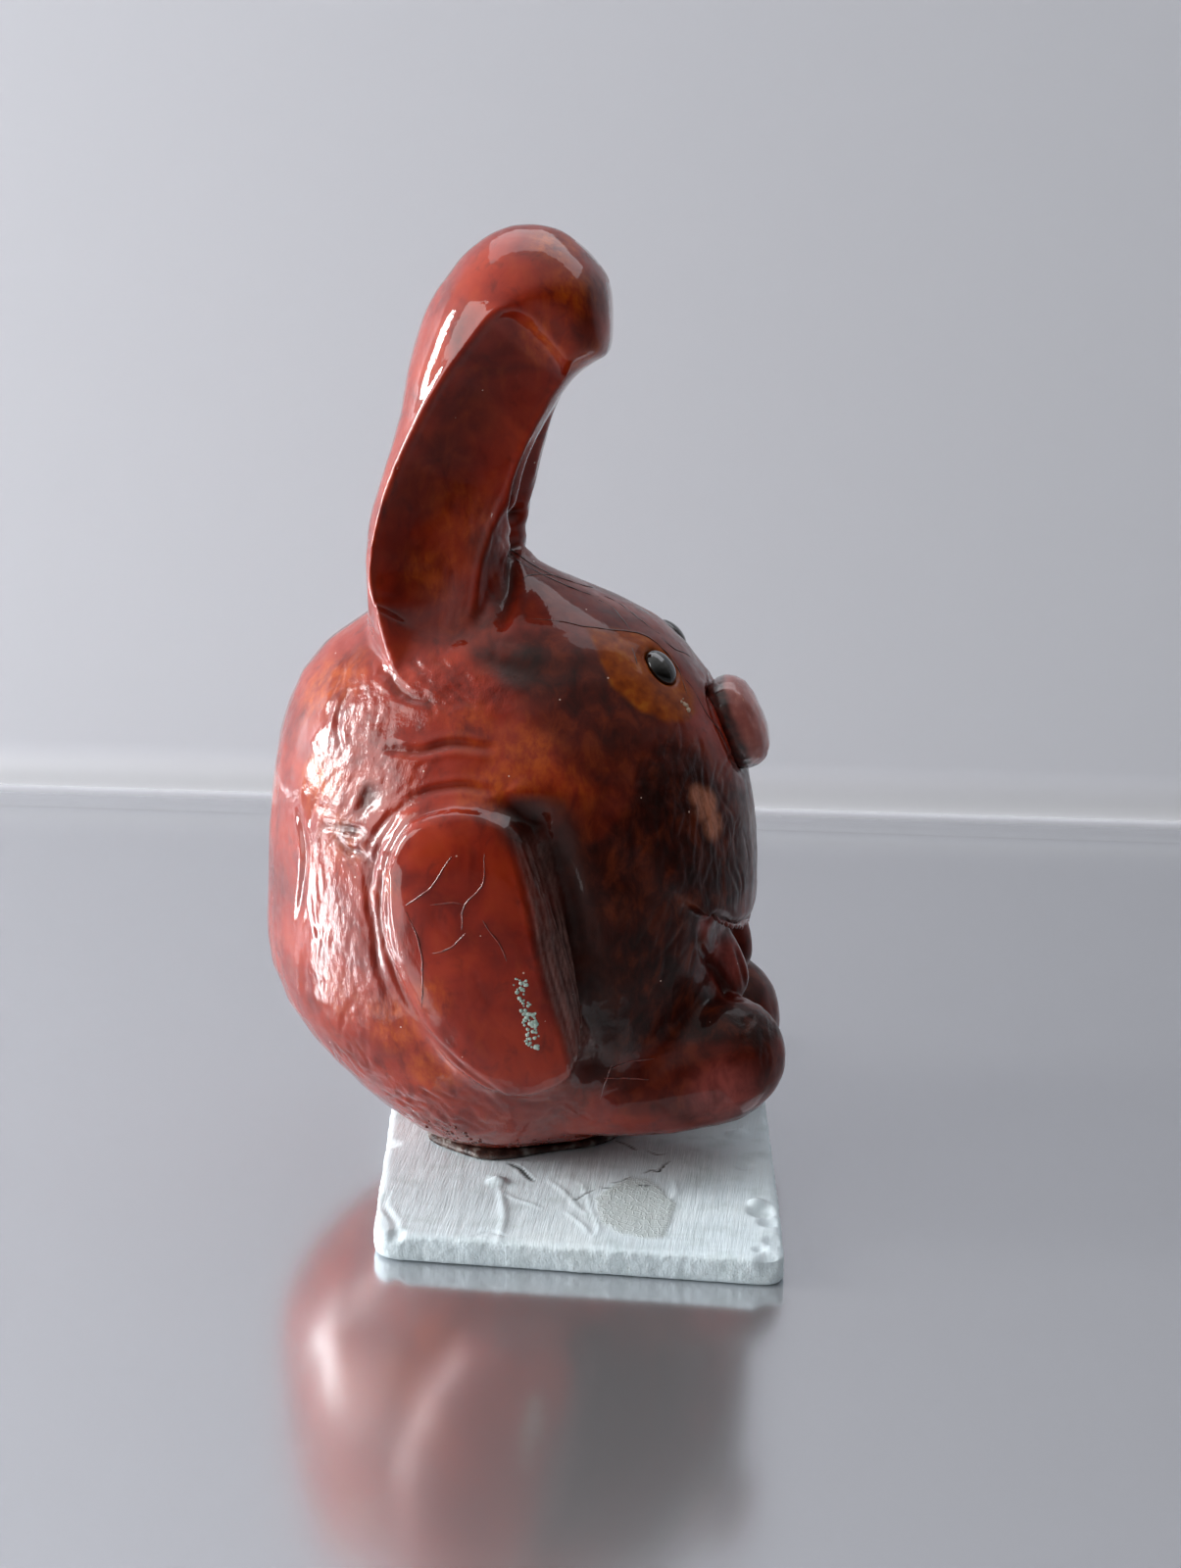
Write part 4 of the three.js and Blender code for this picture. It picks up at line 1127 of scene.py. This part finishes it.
# %% Glue that squeezed out under the belly
GLUE_VOXEL = 0.3 * MM
bed = remeshed("glue_bead", [merged("glue_bed")], GLUE_VOXEL)
move_to(bed.data, averaged(bed.data, places(bed.data), 6))
at, out = places(bed.data), normals(bed.data)
rim = 1 - smooth_step(out[:, 2], 0.7, 1.0)
height = (wave(at, 3, 41) * 0.22 + wave(at, 1.1, 42) * 0.05) * MM * rim
move_to(bed.data, at + out * height[:, None] * (at[:, 2:3] > 4.9 * MM))
finish, tree, shader = new_finish("dried_glue_in_painted_shade")
# Dried glue with a little brown paint, coloured darker still as painted shade under the belly: half
# glossy.
tone = add(tree, RAMP, {0: grain(tree, 2.2, 4)},
           stops=[(0.35, "#241410"), (0.5, "#4A3028"), (0.72, "#8C8C86")])
roughness = add(tree, RAMP, {0: grain(tree, 1, 2)}, stops=[(0.3, 0.3), (0.7, 0.55)])
bump = add(tree, "ShaderNodeBump", {"Height": grain(tree, 0.5, 3), "Distance": 0.12 * MM})
connect(tree, shader, {"Base Color": tone, "Roughness": roughness, "Normal": bump})
bed.data.materials.append(finish)
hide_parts("glue_bed")
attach(bed, "root")
print("glue points:", len(bed.data.vertices))

# %% [markdown]
# ## Hair-fine cracks, flecks and crumbs
# The thick varnish cracked into hair-fine lines over the forehead, the brow and the haunch, a few
# flecks of the board's paint stuck to the haunch, and crumbs of clay stayed where the belly meets
# the board. Modelling each by hand would be slow. Geometry Nodes follow the cracks' paths with a
# thin bead of varnish, and scatter the flecks over small patches of the surface with a fixed seed.

# %% Geometry trees
def new_tree(name, **inputs):
    """An empty geometry tree with named inputs, and the sockets that hand them on."""
    tree = bpy.data.node_groups.new(name, "GeometryNodeTree")
    tree.interface.new_socket("Geometry", in_out="INPUT", socket_type="NodeSocketGeometry")
    for label, kind in inputs.items():
        tree.interface.new_socket(label, in_out="INPUT", socket_type=f"NodeSocket{kind}")
    tree.interface.new_socket("Geometry", in_out="OUTPUT", socket_type="NodeSocketGeometry")
    return tree, add(tree, "NodeGroupInput").node.outputs


def grown(name, mesh, tree, slot, **values):
    """A piece that a geometry tree grows from a mesh, as a plain mesh."""
    piece = new_object(name, mesh)
    growth = piece.modifiers.new("growth", "NODES")
    growth.node_group = tree
    for item in tree.interface.items_tree:
        if item.in_out == "INPUT" and item.name in values:
            growth[item.identifier] = values[item.name]
    baked = bpy.data.meshes.new_from_object(
        piece.evaluated_get(bpy.context.evaluated_depsgraph_get()))
    piece.modifiers.clear()
    piece.data = baked
    baked.shade_smooth()
    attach(piece, "root")
    print(name, "triangles:", sum(len(face.vertices) - 2 for face in baked.polygons),
          "size mm:", [round(side / MM, 1) for side in piece.dimensions])
    return piece


beads, given = new_tree("bead_along_path", Radius="Float", Material="Material")
path = add(beads, "GeometryNodeMeshToCurve", {0: given["Geometry"]})
taper = add(beads, "GeometryNodeInputNamedAttribute", {"Name": "taper"}, data_type="FLOAT")
ring = add(beads, "GeometryNodeCurvePrimitiveCircle", {"Resolution": 6, "Radius": 1.0})
thick = add(beads, MATH, {0: taper, 1: given["Radius"]}, operation="MULTIPLY")
tube = add(beads, "GeometryNodeCurveToMesh",
           {"Curve": path, "Profile Curve": ring, "Fill Caps": True, "Scale": thick})
tube = add(beads, "GeometryNodeRealizeInstances", {0: tube})
tube = add(beads, "GeometryNodeSetMaterial", {"Geometry": tube, "Material": given["Material"]})
add(beads, "NodeGroupOutput", {0: tube})

FLATTENED = 0.45  # a crumb's height against its width
DENTS_PER_METRE = 1400.0
DENT_DEPTH = 0.22 * MM
crumbs, given = new_tree("crumbs_on_patch", Density="Float", Size="Float", Seed="Int",
                         Material="Material")
spots = add(crumbs, "GeometryNodeDistributePointsOnFaces",
            {"Mesh": given["Geometry"], "Density": given["Density"],
             "Seed": given["Seed"]}).node.outputs
grit = add(crumbs, "GeometryNodeMeshIcoSphere", {"Radius": 1.0, "Subdivisions": 2})
size = add(crumbs, "FunctionNodeRandomValue", {2: 0.35, 3: 1.0, "Seed": given["Seed"]})
size = add(crumbs, MATH, {0: size, 1: given["Size"]}, operation="MULTIPLY")
height = add(crumbs, MATH, {0: size, 1: FLATTENED}, operation="MULTIPLY")
flat = add(crumbs, "ShaderNodeCombineXYZ", {0: size, 1: size, 2: height})
loose = add(crumbs, "GeometryNodeInstanceOnPoints",
            {"Points": spots["Points"], "Instance": grit, "Rotation": spots["Rotation"],
             "Scale": flat})
loose = add(crumbs, "GeometryNodeRealizeInstances", {0: loose})
dent = add(crumbs, "ShaderNodeTexNoise", {"Scale": DENTS_PER_METRE, "Detail": 2.0}, give="Color")
dent = add(crumbs, "ShaderNodeVectorMath", {0: dent, 1: (0.5, 0.5, 0.5)}, operation="SUBTRACT")
dent = add(crumbs, "ShaderNodeVectorMath", {0: dent, "Scale": DENT_DEPTH}, operation="SCALE")
loose = add(crumbs, "GeometryNodeSetPosition", {"Geometry": loose, "Offset": dent})
loose = add(crumbs, "GeometryNodeSetMaterial", {"Geometry": loose, "Material": given["Material"]})
add(crumbs, "NodeGroupOutput", {0: loose})
print("geometry trees:", len(beads.nodes), len(crumbs.nodes))

# %% Cracks of the varnish
CRACK_LINES = {
    "forehead_cracks": (0.1, "#240B08", [
        [(521, 565), (531, 574), (547, 583), (565, 592), (579, 598), (597, 605), (611, 609)],
        [(616, 608), (631, 615), (645, 626), (659, 637), (673, 647)],
        [(611, 612), (625, 620), (634, 631), (643, 642)],
        [(645, 660), (648, 670), (650, 678)],
        [(520, 560), (543, 576), (565, 587), (579, 592), (597, 598), (609, 600)],
        [(533, 592), (540, 587), (556, 586), (572, 588)],
        [(675, 651), (688, 662), (700, 667), (709, 674)],
        [(695, 689), (706, 701), (715, 717), (722, 730), (734, 746), (741, 760), (747, 780)]]),
    "brow_line": (0.14, "#5A2312", [
        [(538, 631), (572, 634), (595, 639), (620, 642), (645, 645), (659, 649), (670, 656),
         (679, 665), (688, 676), (695, 689), (699, 703), (702, 712)]]),
    "haunch_cracks": (0.13, "#8A2A18", [
        [(460, 874), (450, 890), (439, 906), (414, 924)],
        [(494, 871), (492, 903), (474, 924), (471, 949)],
        [(414, 931), (428, 964), (431, 1003), (430, 1031)],
        [(474, 953), (460, 967), (439, 974)],
        [(492, 939), (501, 952), (510, 964), (517, 981)],
        [(439, 924), (460, 921), (474, 924)],
        [(620, 1092), (640, 1084), (668, 1080)],
        [(616, 1100), (640, 1100), (662, 1102)],
        [(624, 1086), (618, 1104), (612, 1122)]]),
}


def crack_finish(name, colour):
    """Split varnish with dirt in it: a thin dark line that has one bright side."""
    finish, tree, shader = new_finish(name)
    tone = add(tree, RAMP, {0: grain(tree, 0.8, 2)}, stops=[(0.35, colour), (0.7, "#3A120B")])
    connect(tree, shader, {"Base Color": tone, "Roughness": 0.3, "Coat Weight": 1.0,
                           "Coat Roughness": 0.1})
    return finish


for name, (radius, colour, lines) in CRACK_LINES.items():
    points_of, edges_of, tapers = [], [], []
    for spots in lines:
        path = trail(spots, cut_tree, 0.35 * MM)
        path += np.column_stack([wave(path, 1.6, seed) for seed in (51, 52, 53)]) * 0.12 * MM
        start = len(points_of)
        points_of += [tuple(p) for p in path]
        edges_of += [(start + i, start + i + 1) for i in range(len(path) - 1)]
        tapers += [0.35 + 0.65 * math.sin(math.pi * (i + 0.5) / len(path)) for i in range(len(path))]
    mesh = bpy.data.meshes.new(name)
    mesh.from_pydata(points_of, edges_of, [])
    keep_share(mesh, "taper", tapers)
    grown(name, mesh, beads, "red_glaze", Radius=radius * MM,
          Material=crack_finish(f"cracked_varnish_{name}", colour))

# %% Flecks and crumbs
def patch_of_skin(name, tree, outline, step=2.0):
    """A small mesh that lies on a surface inside a picture outline."""
    edge = np.array(outline, float)
    low, high = edge.min(axis=0), edge.max(axis=0)
    columns, rows = np.arange(low[0], high[0], step), np.arange(low[1], high[1], step)
    spots = np.array([(x, y) for y in rows for x in columns])
    kept = inside(spots, edge, 0.5) > 0.5
    found = {}
    for i in np.flatnonzero(kept):
        place = spot_on(tree, *spots[i])
        if place:
            found[i] = (len(found), place)
    wide = len(columns)
    faces = [[found[i][0] for i in (k, k + wide, k + wide + 1, k + 1)] for k in found
             if all(i in found for i in (k + 1, k + wide, k + wide + 1)) and (k + 1) % wide]
    mesh = bpy.data.meshes.new(name)
    mesh.from_pydata([place for _, place in found.values()], [], faces)
    return mesh


def fleck_finish(name, dark, pale, roughness):
    """Crumbs of dry paint or clay: dull, so they show as pale or dark dots on the varnish."""
    finish, tree, shader = new_finish(name)
    tone = add(tree, RAMP, {0: grain(tree, 0.7, 2)}, stops=[(0.35, dark), (0.65, pale)])
    connect(tree, shader, {"Base Color": tone, "Roughness": roughness})
    return finish


SCATTER = {  # surface, picture outline, per square millimetre, size mm, seed, finish
    "mint_flecks_upper": (cut_tree, [(522, 998), (538, 996), (543, 1030), (530, 1034)], 2.6, 0.36, 3,
                          ("#8FA79C", "#BCCEC4", 0.5)),
    "mint_flecks_lower": (cut_tree, [(532, 1030), (549, 1034), (551, 1071), (536, 1070)], 3.8, 0.4,
                          5, ("#8FA79C", "#BCCEC4", 0.5)),
    "chip_by_the_eye": (cut_tree, [(690, 711), (700, 712), (708, 728), (699, 729)], 3.0, 0.4, 7,
                        ("#9A7C62", "#CDB79E", 0.45)),
    "clay_crumbs_under_belly": (cut_tree, [(430, 1138), (500, 1160), (560, 1160), (566, 1178),
                                           (500, 1184), (430, 1160)], 0.5, 0.42, 9,
                                ("#3A120B", "#6A2A1E", 0.3)),
}
for name, (tree_of, outline, density, size, seed, colours) in SCATTER.items():
    slot = "red_glaze" if name.startswith("clay") else "painted_board"
    grown(name, patch_of_skin(name, tree_of, outline), crumbs, slot,
          Density=density / MM ** 2, Size=size * MM, Seed=seed,
          Material=fleck_finish(f"specks_{name}", *colours))

# %% [markdown]
# ## Table, backdrop and light
# The figurine stands on a pale grey table close to a pale wall. A window behind the rabbit's back,
# on the left of the picture, is the strongest light, and the room on the camera's side is dim. A
# tall soft lamp stands for the window, a wider and weaker one for its curtain, and a broad lamp
# high up beyond the wall for the pale ceiling. The sky is paler behind the rabbit than in front of
# it, because the varnish mirrors what is round it and would look milky in an even one.

# %% Stage
WALL = 0.184  # metres behind the middle of the board
COVE = 0.012
REACH = 2.5  # how far the table goes to each side and to the front
WALL_TOP = 0.32
sweep = bmesh.new()
PROFILE = [(-REACH, 0.0), (WALL - COVE, 0.0)] + [
    (WALL - COVE + COVE * math.sin(a), COVE - COVE * math.cos(a))
    for a in np.linspace(0.1, math.pi / 2, 8)] + [(WALL, WALL_TOP)]
rows = [[sweep.verts.new((x, y, z)) for x in (-REACH, REACH)] for y, z in PROFILE]
for (a, b), (c, d) in zip(rows, rows[1:]):
    sweep.faces.new((a, b, d, c))
mesh = bpy.data.meshes.new("table_and_wall")
sweep.to_mesh(mesh)
sweep.free()
mesh.shade_smooth()
stage = new_object("table_and_wall", mesh)
finish, tree, shader = new_finish("pale_grey_table")
# The table mirrors the figurine softly, so its shader is mostly metallic. The wall is matt, and
# the one turns into the other over the lowest centimetre of the cove.
here = add(tree, "ShaderNodeTexCoord", give="Object")
up_wall = add(tree, MATH, {0: add(tree, "ShaderNodeSeparateXYZ", {0: here}, give="Z"), 1: 50},
              operation="MULTIPLY")
for socket, table_level, wall_level in (("Base Color", "#D6D7DA", "#CDCFD6"),
                                        ("Metallic", 0.85, 0.0), ("Roughness", 0.16, 0.6)):
    level = add(tree, RAMP, {0: up_wall}, stops=[(0.0, table_level), (0.5, wall_level)])
    connect(tree, shader, {socket: level})
# Seen from behind the wall is left out, so the figurine can be looked at from every side.
behind = add(tree, MATH, {0: add(tree, "ShaderNodeNewGeometry", give="Backfacing"),
                          1: add(tree, "ShaderNodeLightPath", give="Is Camera Ray")},
             operation="MULTIPLY")
seen = add(tree, "ShaderNodeMixShader",
           {0: behind, 1: shader.outputs[0], 2: add(tree, "ShaderNodeBsdfTransparent")})
connect(tree, tree.nodes["Material Output"], {"Surface": seen})
mesh.materials.append(finish)
stage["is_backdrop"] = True


def soft_lamp(name, at, towards, size, watts, tint):
    lamp = bpy.data.lights.new(name, "AREA")
    lamp.shape, lamp.size, lamp.size_y = "RECTANGLE", *size
    lamp.energy, lamp.color = watts, linear(tint)[:3]
    holder = new_object(name, lamp)
    holder.location = at
    holder.rotation_euler = (Vector(towards) - Vector(at)).to_track_quat("-Z", "Y").to_euler()


soft_lamp("window_pane", (-1.1, -0.05, 0.34), (0, 0, 0.08), (0.2, 0.52), 15, "#FFFFFF")
soft_lamp("skylight", (0.05, 0.92, 0.95), (0.05, 0.93, 0), (1.5, 1.6), 11, "#F4F6FF")
soft_lamp("window_curtain", (-1.0, -0.62, 0.42), (0, 0, 0.08), (0.6, 0.8), 5.5, "#FFFFFF")
world = bpy.data.worlds.new("room")
bpy.context.scene.world = world
world.use_nodes = True
tree = world.node_tree
ahead = add(tree, "ShaderNodeTexCoord", give="Generated")
x, y, z = add(tree, "ShaderNodeSeparateXYZ", {0: ahead}).node.outputs
lean = 0.45  # the room level with the figurine. It is paler behind, above and to the left
for axis, pull in ((y, 0.3), (z, 0.32), (x, -0.28)):
    lean = add(tree, MATH, {0: axis, 1: pull, 2: lean}, operation="MULTIPLY_ADD")
sky = add(tree, RAMP, {0: lean}, stops=[(0.12, 0.01), (0.32, 0.1), (0.6, 0.42), (0.9, 0.7)])
connect(tree, tree.nodes["Background"], {"Color": sky, "Strength": 1.2})
bpy.context.scene.view_settings.view_transform = "Standard"

# %% Sizes and finish
dressed_box = [list(map(float, corner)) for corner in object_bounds()]
print("dressed box in mm:", [[round(v / MM, 1) for v in corner] for corner in dressed_box])
